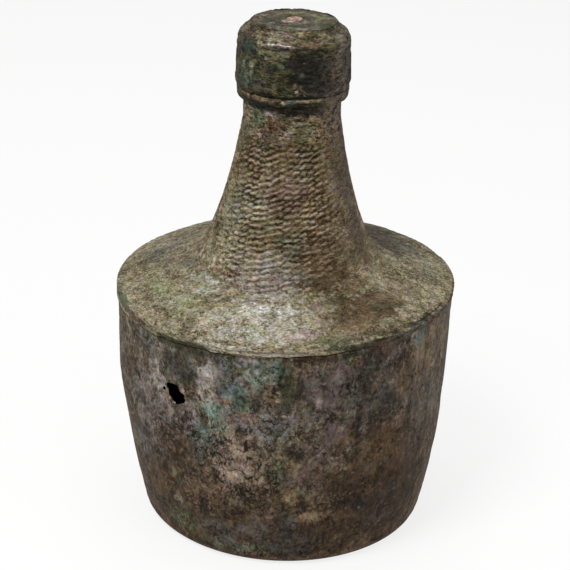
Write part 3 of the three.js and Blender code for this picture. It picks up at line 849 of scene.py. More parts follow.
def bowl_finish():
    """Rose-brown bronze with crust, blue-green drifts and fine dark creases"""
    look = Finish("bowl_patina", 1.2)
    creases = look.creases(look.rough_place, 3.8, 0.022)
    creases = creases.larger(look.creases(look.rough_place.moved((9, 4, 2)), 7, 0.018))
    creased = creases * look.noise(look.place, 11, 2).ramp(0.42, 0.6)
    crack_place = look.warped(look.place.times((1, 1, 0.7)), 7, 1.6)
    cracks = look.cells(crack_place, 5.5, "DISTANCE_TO_EDGE").ramp(0.09, 0.02)
    broken = look.cloud(look.place.moved((30, 0, 0)), 5, 2).ramp(-0.5, 0.1)
    crackled = look.place.distance(CRACKLED).ramp(25, 12)
    creased = creased.larger(cracks * broken * crackled * 0.8)
    side = look.place.part("X").ramp(26, 56) * look.place.part("Y").ramp(40, -10)
    streaks = look.cloud(look.place.times((1, 1, 0.12)), 3.2, 3, 0.7) * side * 0.12
    tone = (look.tone(0.13, 0.19, 0.25) - 0.5) * (1 - side * 0.4) + streaks - creased * 0.42 + 0.5
    colour = look.coloured(tone, "bowl_dark", "bowl_middle", "bowl_light")
    colour = look.tinged(
        colour,
        tone,
        ("slate", 12, 0.15, 0.45, 11),
        ("apricot", 5, 0.25, 0.6, 23),
        ("teal", 8, 0.4, 0.5, 37),
        ("soot_and_painted_shade", 7, 0.35, 0.6, 51),
        ("green", 4, 0.3, 0.5, 83),
    )
    # Painted shade: the bowl turns darker and browner towards the bottom, near the floor
    foot = look.place.part("Z").ramp(75, 5) * 0.75
    colour = look.mix(foot, colour, look.in_tone("umber", tone))
    colour = look.stained(colour, tone, 3)
    colour = look.tinged(colour, tone, ("rust", 3.5, 0.5, 0.45, 71))
    colour = look.mottled(colour, 2.6, 0.75)
    colour = look.flecked(colour, "stone", 1.7, 0.08, 0.3)
    return look.done(colour, tone * 1.6 - creased * 0.4, tone * 0.25 + 0.55, 0.1)


def neck_and_shoulder_finish():
    """Chased neck with dark recesses above a pale, pitted shoulder"""
    sizes = bpy.context.scene.flask_sizes
    look = Finish("neck_and_shoulder_patina", 0.5)
    foot = (sizes.body_height + sizes.shoulder_rise) * PER_MM
    height = look.place.part("Z") + look.cloud(look.place, 6) * 2
    on_neck = height.ramp(foot - 1.5, foot + 2.5)
    relief = look.attribute("relief", "Fac")
    folds = look.creases(look.rough_place.moved((1, 8, 3)), 3.6, 0.03)
    folds = folds * look.cloud(look.place.moved((0, 7, 0)), 9, 2).ramp(-0.3, 0.4)
    tone = look.tone(0.1, 0.17, 0.26, (18, 3.2, 1.1)) - folds * 0.24 + (relief - 0.5) * 0.5

    crusted = height.ramp(163, 172).larger(look.place.part("X").ramp(-15, -25) * 0.6)
    scratches = look.cloud(look.grain_place.moved((5, 9, 1)), 3, 4, 0.85) * crusted
    neck_tone = look.tone(0.09, 0.15, 0.28, (14, 3.6, 1.1)) + (relief - 0.45) * 0.75
    neck_tone = neck_tone + scratches * 0.58
    neck = look.coloured(neck_tone, "neck_dark", "neck_middle", "neck_light")
    crust = height.ramp(158, 166)
    neck = look.tinged(
        neck,
        neck_tone,
        ("sage", 5, 0.3, 0.6, 5),
        ("rust", 3.5, 0.35, 0.7, 17),
        ("olive", 6, 0.2, 0.6, 41),
        ("green", 3, 0, crust * 0.8, 53),
        ("amber", 2.6, 0.1, crust * 0.9, 67),
        ("soot_and_painted_shade", 2.2, 0.2, crust * 0.9, 79),
    )
    shoulder = look.coloured(tone, "shoulder_dark", "shoulder_middle", "shoulder_light")
    shoulder = look.tinged(
        shoulder,
        tone,
        ("lichen", 9, 0.2, 0.4, 29),
        ("khaki", 6, 0.3, 0.6, 43),
        ("rose", 4, 0.4, 0.6, 61),
    )
    colour = look.mix(on_neck, shoulder, neck)
    colour = look.stained(colour, look.mix(on_neck, tone, neck_tone), 3)
    colour = look.mottled(colour, 3.8, on_neck * 0.2 + 0.5)
    colour = look.mottled(colour, 1.3, on_neck * 0.5)
    pits = look.cells(look.rough_place, 1.2).ramp(0.4, 0.15) * (1 - on_neck)
    speckled = look.cloud(look.rough_place.moved((3, 3, 3)), 5, 4, 0.7).ramp(-0.4, 0.4) * pits
    colour = look.mix(speckled * 0.7, colour, look.named("shoulder_dark"))
    return look.done(colour, tone * 1.8 - speckled * 0.8, tone * 0.15 + 0.75, 0.02)


def cap_finish(name):
    """Nearly black bronze with olive, brown and blue-green crust, painted lighter where it faces up"""
    look = Finish(name, 0.45)
    tone = look.tone(0.12, 0.26, 0.3, (12, 3, 1.3))
    # Painted light from above: faces that look up are given lighter, browner colours than the sides
    painted_top_light = look.node("ShaderNodeNewGeometry", output="Normal").part("Z").ramp(0.25, 0.8)
    upper = look.coloured(tone, "soot_and_painted_shade", "ochre_dark", "stone")
    colour = look.mix(painted_top_light, look.coloured(tone, "cap_dark", "cap_middle", "cap_light"), upper)
    colour = look.tinged(
        colour,
        tone,
        ("moss_dark", 5, 0, 0.7, 13),
        ("rust_dark", 3, 0.35, 0.6, 31),
        ("slate", 4, 0.4, 0.5, 47),
    )
    colour = look.stained(colour, tone, 2)
    colour = look.mottled(colour, 3, 0.9)
    colour = look.flecked(colour, "khaki", 1.5, 0.07, 0.6)
    return look.done(colour, tone * 1.5, tone * 0.25 + 0.5, 0.15)


def plain_finish(name, bare, tarnish, size, metallic):
    """Bare metal that is partly tarnished"""
    look = Finish(name, 1)
    tone = look.tone(0.05, 0.2, 0.2, (8, 2.5, 0.9))
    dull = look.cloud(look.place, size, 4, 0.8).ramp(0, 0.6) * 0.8
    colour = look.mix(dull, look.in_tone(bare, tone), look.in_tone(tarnish, tone))
    return look.done(colour, tone, 0.6, metallic)


def tree_with(name, labels):
    """A Geometry Nodes tree with a geometry, numbers with those names and a material"""
    tree = bpy.data.node_groups.new(name, "GeometryNodeTree")
    tree.interface.new_socket("Geometry", in_out="INPUT", socket_type="NodeSocketGeometry")
    tree.interface.new_socket("Geometry", in_out="OUTPUT", socket_type="NodeSocketGeometry")
    for label in labels:
        tree.interface.new_socket(label, in_out="INPUT", socket_type="NodeSocketFloat")
    tree.interface.new_socket("Material", in_out="INPUT", socket_type="NodeSocketMaterial")
    graph = Graph(tree)
    entry = graph.node("NodeGroupInput").socket.node
    return graph, {s.name: Wire(graph, s) for s in entry.outputs if s.name}


def close_tree(graph, geometry, depth, material):
    """Ends a tree: the surface goes that deep into the metal, as plain geometry in its material"""
    offset = graph.node("GeometryNodeInputNormal").scaled(depth * -1)
    pushed = graph.node("GeometryNodeSetPosition", inputs={"Geometry": geometry, "Offset": offset})
    plain = graph.node("GeometryNodeRealizeInstances", inputs={"Geometry": pushed})
    inputs = {"Geometry": plain, "Material": material}
    covered = graph.node("GeometryNodeSetMaterial", inputs=inputs)
    graph.node("NodeGroupOutput", inputs={0: covered})


def weathered_skin_tree():
    """Shallow dents and grains, which only ever take metal away"""
    labels = ["Dent depth", "Dent size", "Grain depth", "Grain size", "Flat below", "Seed"]
    graph, given = tree_with("weathered_skin", labels)
    position = graph.node("GeometryNodeInputPosition")
    place = position.moved(graph.combined(given["Seed"]))
    dents = graph.cloud(place, given["Dent size"], 2)
    grains = graph.cloud(place, given["Grain size"], 2, 0.7)
    above = position.part("Z").ramp(given["Flat below"], given["Flat below"] + 3 * MM)
    depth = dents.held() * given["Dent depth"] + grains.held() * given["Grain depth"]
    close_tree(graph, given["Geometry"], depth * above, given["Material"])


def chased_rows_tree():
    """Rows of short slanted strokes, staggered like wickerwork, whose height is kept as relief"""
    labels = ["Columns", "Pitch", "Depth", "Slant", "Lowest", "Highest", "Smooth turn", "Axis shift"]
    graph, given = tree_with("chased_rows", labels)
    position = graph.node("GeometryNodeInputPosition")
    place = position.scaled(PER_MM)
    x = position.part("X") - given["Axis shift"]
    y = position.part("Y")
    z = position.part("Z")
    turn = x.maths("ARCTAN2", x, y * -1)
    wander = graph.cloud(place, 12, 3) * 0.12
    ripple = graph.cloud(place.moved((40, 0, 0)), 5, 3) * 0.5 * MM
    across = turn / FULL_TURN * given["Columns"] / 2 + wander
    radius = (x**2 + y**2) ** 0.5
    up = (z * 0.87 - radius * 0.43 + ripple) / given["Pitch"]
    reliefs = []
    for lattice in (0, 0.5):
        column = across + lattice
        along = column.fraction() - 0.5
        shift = graph.luck(graph.combined(column.floor(), lattice))
        lifted = up + lattice * 0.5 + shift * 0.4 - along * given["Slant"]
        fall = lifted.fraction() - 0.5
        luck = graph.luck(graph.combined(column.floor(), lifted.floor(), lattice + 3))
        width = luck * 0.08 + 0.28
        tall = luck * -0.08 + 0.36
        distance = (along / width) ** 2 + (fall / tall) ** 2
        reliefs.append((1 - distance).held() ** 0.7 * (luck * 0.6 + 0.5))
    relief = reliefs[0].larger(reliefs[1])
    low, high = given["Lowest"], given["Highest"]
    band = z.ramp(low, low + 5 * MM) * z.ramp(high, high - 4 * MM)
    smooth = turn.ramp(given["Smooth turn"], given["Smooth turn"] + 0.6) * turn.ramp(2.6, 1.9)
    crusted = turn.ramp(-0.7, -1.2) * turn.ramp(-2.6, -1.9)
    worn = graph.cloud(place.moved((0, 60, 0)), 10, 3).ramp(-0.9, 0.2) * 0.4 + 0.6
    outward = graph.node("GeometryNodeInputNormal").dot(graph.combined(x, y)).ramp(0, 6 * MM)
    fade = z.ramp(low, low + 42 * MM) * 0.4 + 0.6
    strength = band * fade * (1 - smooth * 0.85) * (1 - crusted * 0.85) * worn * outward
    stored = graph.node(
        "GeometryNodeStoreNamedAttribute",
        {"data_type": "FLOAT", "domain": "POINT"},
        {"Geometry": given["Geometry"], "Name": "relief", "Value": (relief - 0.5) * strength + 0.5},
    )
    close_tree(graph, stored, (1 - relief) * strength * given["Depth"], given["Material"])


def arc(centre, radius, start, end, steps=12):
    """Points of a circular arc, from one angle to another in degrees"""
    angles = np.radians(np.linspace(start, end, steps + 1))
    return [(centre[0] + radius * math.cos(a), centre[1] + radius * math.sin(a)) for a in angles]


def flare(start, end, slope_start, slope_end, steps=60):
    """A smooth wall between two points, whose slopes are the change of radius for its height"""
    height = end[1] - start[1]
    points = []
    for t in np.linspace(0, 1, steps + 1):
        radius = (
            (2 * t**3 - 3 * t**2 + 1) * start[0]
            + (t**3 - 2 * t**2 + t) * height * slope_start
            + (3 * t**2 - 2 * t**3) * end[0]
            + (t**3 - t**2) * height * slope_end
        )
        points.append((radius, start[1] + height * t))
    return points


def rounded(before, corner, after, radius, steps=16):
    """The corner between two lines, rounded by a curve"""
    before, corner, after = (np.array(p, float) for p in (before, corner, after))
    into = (corner - before) / np.linalg.norm(corner - before)
    out = (after - corner) / np.linalg.norm(after - corner)
    reach = radius * math.tan(math.acos(np.clip(into @ out, -1, 1)) / 2)
    start = corner - into * reach
    end = corner + out * reach
    points = []
    for t in np.linspace(0, 1, steps + 1):
        a = start + (corner - start) * t
        b = corner + (end - corner) * t
        points.append(tuple(a + (b - a) * t))
    return points


def divided(outline, spacing):
    """The outline with more points, none further apart than the spacing"""
    points = [outline[0]]
    for start, end in zip(outline, outline[1:]):
        count = max(1, math.ceil(math.dist(start, end) / spacing))
        for i in range(1, count + 1):
            points.append(tuple(np.array(start) + (np.array(end) - np.array(start)) * i / count))
    return points


def inner_face(outline, thickness):
    """The other face of a sheet, to the outline's left"""
    points = np.array(outline)
    along = np.gradient(points, axis=0)
    along /= np.linalg.norm(along, axis=1)[:, None]
    return [tuple(p) for p in points + thickness * np.stack([-along[:, 1], along[:, 0]], 1)]


def smooth_rise(low, high, value):
    t = np.clip((value - low) / (high - low), 0, 1)
    return t * t * (3 - 2 * t)


def lean_at(height):
    """How far the body and neck have moved sideways at a height"""
    age = bpy.context.scene.flask_age
    sizes = bpy.context.scene.flask_sizes
    foot = sizes.body_height + sizes.shoulder_rise
    body = age.body_lean * smooth_rise(0, sizes.body_height, height)
    return body + age.neck_lean * smooth_rise(sizes.body_height, foot + sizes.neck_height, height)


def tilt_at(height):
    """Rise of the surface for each metre towards the right, at a height"""
    age = bpy.context.scene.flask_age
    sizes = bpy.context.scene.flask_sizes
    foot = sizes.body_height + sizes.shoulder_rise
    part = smooth_rise(0.1 * sizes.body_height, sizes.body_height, height)
    part = part * (1 - smooth_rise(foot, foot + sizes.neck_height, height))
    return age.rim_tilt / (2 * sizes.shoulder_radius) * part


def aged(x, y, z):
    """The leans and swellings of age, as the solids have them"""
    age = bpy.context.scene.flask_age
    radius = np.maximum(np.hypot(x, y), 1e-9)
    left = np.maximum(-x / radius, 0) ** 2
    swell = age.bulge * left * np.exp(-(((z - age.bulge_height) / age.bulge_spread) ** 2))
    bent = x * (1 + swell / bpy.context.scene.flask_sizes.shoulder_radius) + lean_at(z)
    return np.stack([bent, y, z + tilt_at(z) * x], -1)


def new_object(name, points, faces):
    """A mesh object in the scene"""
    mesh = bpy.data.meshes.new(name)
    mesh.from_pydata(points, [], faces)
    mesh.update()
    item = bpy.data.objects.new(name, mesh)
    bpy.context.scene.collection.objects.link(item)
    return item


def turned(name, outline, ring=False, bend=None):
    """A closed skin from an outline turned about the axis; a ring closes on itself, others at poles"""
    radius, height = np.array(outline, float).T
    poles = [] if ring else [height[0], height[-1]]
    if not ring:
        radius, height = radius[1:-1], height[1:-1]
    columns = COLUMNS[name]
    angle = np.arange(columns) * FULL_TURN / columns
    radius, turn = np.meshgrid(radius, angle, indexing="ij")
    height = np.repeat(height[:, None], columns, 1)
    if bend:
        radius, height = bend(radius, height, turn)
    points = aged(radius * np.cos(turn), radius * np.sin(turn), height).reshape(-1, 3)
    index = np.arange(radius.size).reshape(radius.shape)
    beside = np.roll(index, -1, axis=1)
    rows = slice(None) if ring else slice(0, -1)
    above, above_beside = np.roll(index, -1, axis=0)[rows], np.roll(beside, -1, axis=0)[rows]
    faces = np.stack([index[rows], beside[rows], above_beside, above], -1).reshape(-1, 4).tolist()
    points = points.tolist()
    for pole, (row, order) in zip(poles, ((0, (0, 2, 1)), (-1, (0, 1, 2)))):
        points.append(aged(np.array([0.0]), np.array([0.0]), np.array([pole]))[0].tolist())
        for a, b in zip(index[row].tolist(), beside[row].tolist()):
            corners = (len(points) - 1, a, b)
            faces.append([corners[i] for i in order])
    return new_object(name, points, faces)


def turned_ring(name, corners, spacing, bend=None):
    """A closed skin from the corners of a ring's section, with points no further apart than that"""
    return turned(name, divided([*corners, corners[0]], spacing)[:-1], True, bend)


def frozen(piece):
    """Gives the piece the mesh that its modifiers make, and removes them"""
    bpy.context.view_layer.update()
    evaluated = piece.evaluated_get(bpy.context.evaluated_depsgraph_get())
    mesh = bpy.data.meshes.new_from_object(evaluated)
    piece.modifiers.clear()
    piece.data = mesh
    mesh.name = piece.name


def worked(piece, tree_name, values):
    """Runs a Geometry Nodes tree on a piece, with its inputs by name, and keeps the result"""
    tree = bpy.data.node_groups[tree_name]
    modifier = piece.modifiers.new(tree.name, "NODES")
    modifier.node_group = tree
    for item in tree.interface.items_tree:
        if item.in_out == "INPUT" and item.name in values:
            modifier[item.identifier] = values[item.name]
    frozen(piece)


def weathered(piece, name, material, flat_below=0.0):
    """Gives a skin its dents and grains, which leave what is below a height flat"""
    dent_depth, dent_size, grain_depth, grain_size, seed_factor = WEAR[name]
    values = {
        "Dent depth": dent_depth * MM,
        "Dent size": dent_size * MM,
        "Grain depth": grain_depth * MM,
        "Grain size": grain_size * MM,
        "Flat below": flat_below,
        "Seed": float(bpy.context.scene.flask_age.seed * seed_factor),
        "Material": material,
    }
    worked(piece, "weathered_skin", values)


def wobble(points, size, seed):
    """A smooth uneven field from -1 to 1, made of a few waves"""
    draw = np.random.default_rng(seed)
    total = np.zeros(len(points))
    for _ in range(WOBBLE_WAVES):
        direction = draw.normal(size=3)
        direction *= FULL_TURN / size * draw.uniform(0.6, 1.6) / np.linalg.norm(direction)
        total += np.sin(points @ direction + draw.uniform(0, FULL_TURN))
    return total / math.sqrt(WOBBLE_WAVES)


def stained(piece, stains, low_edge, edge_radius, inward=1):
    """Stores the colour and cover of the stains and painted light on the piece, for its material"""
    tints = bpy.context.scene.flask_colours
    points = np.zeros(len(piece.data.vertices) * 3)
    piece.data.vertices.foreach_get("co", points)
    points = points.reshape(-1, 3)
    x = points[:, 0] - lean_at(points[:, 2])
    radius = np.hypot(x, points[:, 1])
    turn = np.arctan2(points[:, 1], x)
    height = points[:, 2] - tilt_at(points[:, 2]) * x
    run = (height - low_edge + inward * (edge_radius - radius)) * PER_MM
    uneven = wobble(points * PER_MM, STAIN_WOBBLE, 3) * STAIN_UNEVEN
    bare = np.ones(len(points))
    blend = np.zeros((len(points), 3))
    total = np.full(len(points), 1e-6)
    for name, marks in stains.items():
        colour = np.array(linear(getattr(tints, name))[:3])
        for mark_turn, mark_run, across, up, strength in marks:
            apart = (turn - math.radians(mark_turn) + math.pi) % FULL_TURN - math.pi
            distance = np.hypot(apart * radius * PER_MM / across, (run - mark_run) / up)
            cover = strength * smooth_rise(STAIN_END, STAIN_FULL, distance + uneven)
            bare *= 1 - cover
            total += cover**2
            blend += cover[:, None] ** 2 * colour
    values = np.column_stack([blend / total[:, None], 1 - bare]).astype(np.float32)
    attribute = piece.data.attributes.new("stain", "FLOAT_COLOR", "POINT")
    attribute.data.foreach_set("color", values.ravel())


def placed(piece, body, node):
    """Smooths the piece, and puts it on its body in the node's stead"""
    piece.data.shade_smooth()
    piece.data.set_sharp_from_angle(angle=math.radians(SHARP_ANGLE))
    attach(piece, body)
    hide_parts(node)


def waves(turn, parts):
    """An uneven line round the axis, in metres, at turns in radians"""
    return sum(height * np.sin(count * turn + start) for height, count, start in parts) * MM


def lip_depth_at(turn):
    """How far the lip hangs down at a turn in radians, a little uneven"""
    sizes = bpy.context.scene.flask_sizes
    return sizes.lip_depth - sizes.lip_change * np.cos(turn) + waves(turn, LIP_WAVES)


class Rim:
    """Where the bowl's rim, the lip and the shoulder meet, as the solids have it"""

    def __init__(self):
        sizes = bpy.context.scene.flask_sizes
        self.lip_top = (sizes.shoulder_radius - sizes.lip_corner, sizes.body_height)
        self.foot = (sizes.foot_radius, sizes.body_height + sizes.shoulder_rise)
        self.slope = sizes.shoulder_rise / (self.lip_top[0] - self.foot[0])
        self.lip_inside = sizes.shoulder_radius - sizes.sheet
        self.rim_radius = self.lip_inside - sizes.gap
        self.lip_bottom = sizes.body_height - LIP_REACH
        self.rim_top = self.underside(self.rim_radius) - sizes.gap

    def underside(self, radius):
        """Height of the shoulder's lower face at a radius"""
        sheet = bpy.context.scene.flask_sizes.sheet
        upper = self.lip_top[1] + (self.lip_top[0] - radius) * self.slope
        return upper - sheet * math.hypot(1, self.slope)


def hole_cutter():
    """The corroded hole and the pin hole beside it, as slanted prisms through the wall"""
    age = bpy.context.scene.flask_age
    turn = math.radians(age.hole_turn)
    outward = Vector((math.cos(turn), math.sin(turn), 0))
    across = Vector((-math.sin(turn), math.cos(turn), 0))
    pin = arc(PIN_HOLE, age.pin_radius * PER_MM, 0, -360)[:-1]
    points, faces = [], []
    for outline in (HOLE_OUTLINE, pin):
        first, count = len(points), len(outline)
        for reach in (-HOLE_REACH, HOLE_REACH):
            for right, up in outline:
                point = outward * age.hole_radius + across * right * MM + Vector(HOLE_WAY) * reach
                points.append(point + Vector((0, 0, age.hole_height + up * MM)))
        near = list(range(first, first + count))
        far = [i + count for i in near]
        faces += [near, far[::-1]]
        faces += [[near[i - 1], far[i - 1], far[i], near[i]] for i in range(count)]
    return new_object("hole_cutter", points, faces)


class FLASK_OT_bowl(bpy.types.Operator):
    """Builds the bowl with its corroded hole"""

    bl_idname = "flask.bowl"
    bl_label = "Bowl"

    def execute(self, context):
        sizes = context.scene.flask_sizes
        rim = Rim()
        joggle = rim.lip_bottom - sizes.gap
        corner = (sizes.base_radius - sizes.base_corner, sizes.base_corner)
        wall_foot = (sizes.base_radius, sizes.base_corner)
        wall_top = (sizes.shoulder_radius - sizes.lip_proud, joggle - 0.2 * MM)
        wall = flare(wall_foot, wall_top, sizes.flare_low, sizes.flare_high)
        base = divided([(0, 0), (corner[0], 0)], 6 * MM)
        curve = arc(corner, sizes.base_corner, -90, 0, 10)
        drawn_in = [(rim.rim_radius, rim.lip_bottom - sizes.gap / 2), (rim.rim_radius, rim.rim_top)]
        outer = base + curve[1:] + divided(wall, 0.8 * MM)[1:] + drawn_in
        coarse = [(0, 0), (corner[0] / 2, 0)] + curve[::3] + wall[4::4] + drawn_in
        inside = inner_face(coarse, sizes.sheet)
        inside[0] = (0, sizes.sheet)
        inside[-1] = (inside[-1][0], rim.rim_top)

        def bend(radius, height, turn):
            """The wall's upper end follows the uneven lip"""
            shift = (sizes.body_height - rim.lip_bottom) - lip_depth_at(turn)
            pressed = np.exp((np.cos(turn - PRESSED_TURN) - 1) * PRESSED_SHARPNESS)
            raised = np.maximum(smooth_rise(0.3, 0.6, np.cos(turn)), pressed)
            shift = shift + PRESSED_RISE * raised
            part = smooth_rise(joggle - JOGGLE_REACH, joggle - sizes.sheet, height)
            part = part * (1 - smooth_rise(joggle, rim.rim_top, height))
            return radius, height + shift * part

        bowl = turned("bowl", outer + inside[::-1], bend=bend)
        cutter = hole_cutter()
        cut = bowl.modifiers.new("hole", "BOOLEAN")
        cut.object = cutter
        cut.operation = "DIFFERENCE"
        cut.solver = "EXACT"
        frozen(bowl)
        bpy.data.objects.remove(cutter)
        if not bowl.data.polygons:
            raise RuntimeError("Cutting the hole left nothing of the bowl")
        weathered(bowl, "bowl", bowl_finish(), 1 * MM)
        stained(bowl, BOWL_STAINS_AND_PAINTED_LIGHT, 0, sizes.shoulder_radius, inward=0)
        placed(bowl, "flask", "body_shell")
        return {"FINISHED"}


class FLASK_OT_neck(bpy.types.Operator):
    """Builds the shoulder, the chased neck and the mouth tube"""

    bl_idname = "flask.neck"
    bl_label = "Neck and shoulder"

    def execute(self, context):
        sizes = context.scene.flask_sizes
        age = context.scene.flask_age
        rim = Rim()
        throat = (sizes.mouth_radius, rim.foot[1] + sizes.neck_height)
        neck_line = (rim.foot[0] - sizes.taper_low * MM, rim.foot[1] + 1 * MM)
        foot = rounded(rim.lip_top, rim.foot, neck_line, sizes.foot_fillet)
        corner = (sizes.shoulder_radius - sizes.lip_corner, sizes.body_height - sizes.lip_corner)
        lip = [(sizes.shoulder_radius, rim.lip_bottom), *arc(corner, sizes.lip_corner, 0, 70, 5)]
        reach = sizes.throat_blend
        below = (sizes.mouth_radius + sizes.taper_high * reach, throat[1] - reach)
        above = (sizes.mouth_radius, throat[1] + reach)
        blend = rounded(below, throat, above, 4 * reach, 8)
        neck = flare(foot[-1], throat, -sizes.taper_low, -sizes.taper_high)[1:-2] + blend
        mouth = [(sizes.mouth_radius, sizes.mouth_top)]
        outer = divided(lip, 0.4 * MM) + divided([lip[-1], *foot], 0.75 * MM)[1:]
        outer += divided([foot[-1], *neck], 0.36 * MM)[1:]
        outer += divided([neck[-1], *mouth], 1.5 * MM)[1:]
        coarse = inner_face([lip[-1], *foot[::4], *neck[::4], *mouth], sizes.sheet)
        inner_corner = (rim.lip_inside, rim.underside(rim.lip_inside))
        inner = [p for p in coarse if p[0] < inner_corner[0] and p[1] > inner_corner[1]]
        inner[-1] = (inner[-1][0], sizes.mouth_top)
        lip_back = divided([(rim.lip_inside, rim.lip_bottom), inner_corner], 0.6 * MM)
        lip_height = corner[1] - rim.lip_bottom

        def bend(radius, height, turn):
            """The lip is deeper on the left, with a shallow crease along it"""
            down = np.clip((corner[1] - height) / lip_height, 0, 1) * (radius > rim.rim_radius)
            change = lip_depth_at(turn) - (sizes.body_height - rim.lip_bottom)
            outward = radius > rim.lip_inside + 0.5 * MM
            crease = 0.2 * MM * np.exp(-(((down - 0.4) / 0.14) ** 2))
            scalloped = 0.7 + 0.2 * np.sin(8 * turn)
            worn_away = scalloped * np.where(np.cos(turn) > 0, 1, np.sin(turn) ** 2)
            taper = sizes.lip_proud * worn_away * smooth_rise(0.3, 1, down)
            return radius - (crease + taper) * outward, height - down * change

        section = outer + (lip_back + inner)[::-1]
        piece = turned("neck_and_shoulder_skin", section, True, bend)
        material = neck_and_shoulder_finish()
        weathered(piece, "neck_and_shoulder_skin", material)
        values = {
            "Columns": float(age.stroke_columns),
            "Pitch": age.stroke_pitch,
            "Depth": age.stroke_depth,
            "Slant": age.stroke_slant,
            "Lowest": rim.foot[1] - 4 * MM,
            "Highest": throat[1] - 4 * MM,
            "Smooth turn": SMOOTH_TURN,
            "Axis shift": age.body_lean + age.neck_lean / 2,
            "Material": material,
        }
        worked(piece, "chased_rows", values)
        stained(piece, NECK_STAINS_AND_PAINTED_LIGHT, sizes.body_height, sizes.shoulder_radius)
        placed(piece, "flask", "neck_and_shoulder")
        return {"FINISHED"}


class FLASK_OT_ring(bpy.types.Operator):
    """Builds the stop ring, which crust thickens on the right"""

    bl_idname = "flask.ring"
    bl_label = "Stop ring"

    def execute(self, context):
        sizes = context.scene.flask_sizes
        bore = sizes.mouth_radius + sizes.gap
        bottom, ring_top = sizes.ring_bottom, sizes.ring_top
        outside = sizes.ring_radius + RING_PROUD
        corners = [
            (bore, bottom),
            (bore + 0.6 * MM, bottom),
            (outside - 0.75 * MM, bottom + 0.6 * MM),
            (outside - 0.15 * MM, bottom + 1.5 * MM),
            *arc((outside - RING_EDGE, ring_top - RING_EDGE), RING_EDGE, 0, 90, 6),
            (bore, ring_top),
        ]
        gap = sizes.cap_bottom - ring_top

        def bend(radius, height, turn):
            """Lumps round the outside, and a fill of crust up to the cap on the right"""
            outer = np.clip((radius - bore) / (outside - bore), 0, 1)
            upper = smooth_rise(bottom, ring_top, height)
            filled = smooth_rise(0.1, 0.7, np.cos(turn + math.radians(28)))
            square = filled * np.clip(outside - radius, 0, RING_EDGE) * (upper > 0.6) * (outer > 0.4)
            droop = 1.3 * MM * np.cos(turn) ** 2 * (1 - upper)
            radius = radius + outer * waves(turn, RING_WAVES) + square
            return radius, height + upper * gap * 0.8 * filled - droop

        ring = turned_ring("stop_ring_bead", corners, 0.35 * MM, bend)
        weathered(ring, "stop_ring_bead", cap_finish("ring_patina"))
        stained(ring, RING_STAINS_AND_PAINTED_LIGHT, sizes.ring_bottom, sizes.ring_radius, inward=0)
        placed(ring, "flask", "stop_ring")
        return {"FINISHED"}


class FLASK_OT_cap(bpy.types.Operator):
    """Builds the cast cap"""

    bl_idname = "flask.cap"
    bl_label = "Cap"

    def execute(self, context):
        sizes = context.scene.flask_sizes
        bottom, cap_top, outside = sizes.cap_bottom, sizes.cap_top, sizes.cap_radius
        edge = sizes.cap_edge
        shoulder = cap_top - 0.6 * MM
        seat = sizes.disc_radius
        hole = sizes.rivet_radius + sizes.gap
        corners = [
            (sizes.cap_bore, bottom),
            (outside - 0.6 * MM, bottom),
            (outside - 0.25 * MM, bottom + 0.8 * MM),
            (outside, bottom + 2.4 * MM),
            *arc((outside - sizes.cap_taper - edge, shoulder - edge), edge, 0, 78),
            (seat + 1.5 * MM, cap_top + 0.3 * MM),
            (seat + 0.6 * MM, cap_top + 1.3 * MM),
            (seat + 0.15 * MM, cap_top + 1.75 * MM),
            (seat + 0.1 * MM, cap_top),
            (hole, cap_top),
            (hole, sizes.cap_ceiling),
            (sizes.cap_bore - 1 * MM, sizes.cap_ceiling),
            (sizes.cap_bore, sizes.cap_ceiling - 1 * MM),
        ]
        cap = turned_ring("cap", corners, 0.5 * MM)
        weathered(cap, "cap", cap_finish("cap_patina"))
        stained(cap, CAP_STAINS_AND_PAINTED_LIGHT, sizes.cap_bottom, sizes.cap_radius)
        placed(cap, "cap", "cap_shell")
        return {"FINISHED"}


class FLASK_OT_disc(bpy.types.Operator):
    """Builds the riveted disc and the rivet on the cap"""

    bl_idname = "flask.disc"
    bl_label = "Disc and rivet"

    def execute(self, context):
        sizes = context.scene.flask_sizes
        self.add_disc(sizes)
        self.add_rivet(sizes)
        return {"FINISHED"}

    def add_disc(self, sizes):
        hole = sizes.rivet_radius + sizes.gap
        sink = sizes.rivet_head + 0.05 * MM
        bottom, crown, edge = sizes.disc_bottom, sizes.disc_top, sizes.disc_radius
        floor = crown - 1.2 * MM
        corners = [
            (hole, bottom),
            (edge - 0.2 * MM, bottom),
            (edge, bottom + 0.2 * MM),
            (edge, crown - 0.75 * MM),
            (edge - 0.5 * MM, crown - 0.35 * MM),
            (edge * 0.6, crown - 0.1 * MM),
            (sink + 0.2 * MM, crown),
            (sink, crown - 0.1 * MM),
            (sink, floor),
            (hole, floor),
        ]

        def bend(radius, height, turn):
            """The disc isn't quite round: its back is cut shorter"""
            short = 0.05 * MM + DISC_CUT * np.clip(np.sin(turn), 0, 1) ** 2
            return radius - short * np.clip((radius - sink) / (edge - sink), 0, 1), height

        disc = turned_ring("cap_disc_plate", corners, 0.45 * MM, bend)
        weathered(disc, "cap_disc_plate", cap_finish("disc_patina"))
        stained(disc, DISC_STAINS, sizes.disc_bottom, sizes.disc_radius)
        placed(disc, "cap", "cap_disc")

    def add_rivet(self, sizes):
        crown = sizes.disc_top
        head = sizes.rivet_head
        tail = sizes.cap_ceiling - sizes.gap
        outline = [
            (0, tail - 1.1 * MM),
            (head - 0.3 * MM, tail - 1.1 * MM),
            (head, tail),
            (sizes.rivet_radius, tail),
            (sizes.rivet_radius, crown - 0.9 * MM),
            (head, crown - 0.9 * MM),
            (head, crown - 0.35 * MM),
            (head - 0.35 * MM, crown - 0.08 * MM),
            (head * 0.5, crown),
            (0, crown),
        ]
        rivet = turned("cap_rivet_head", divided(outline, 0.3 * MM))
        copper = plain_finish("tarnished_copper", "copper", "ochre_dark", 2.2, 0.15)
        weathered(rivet, "cap_rivet_head", copper)
        placed(rivet, "cap", "cap_rivet")


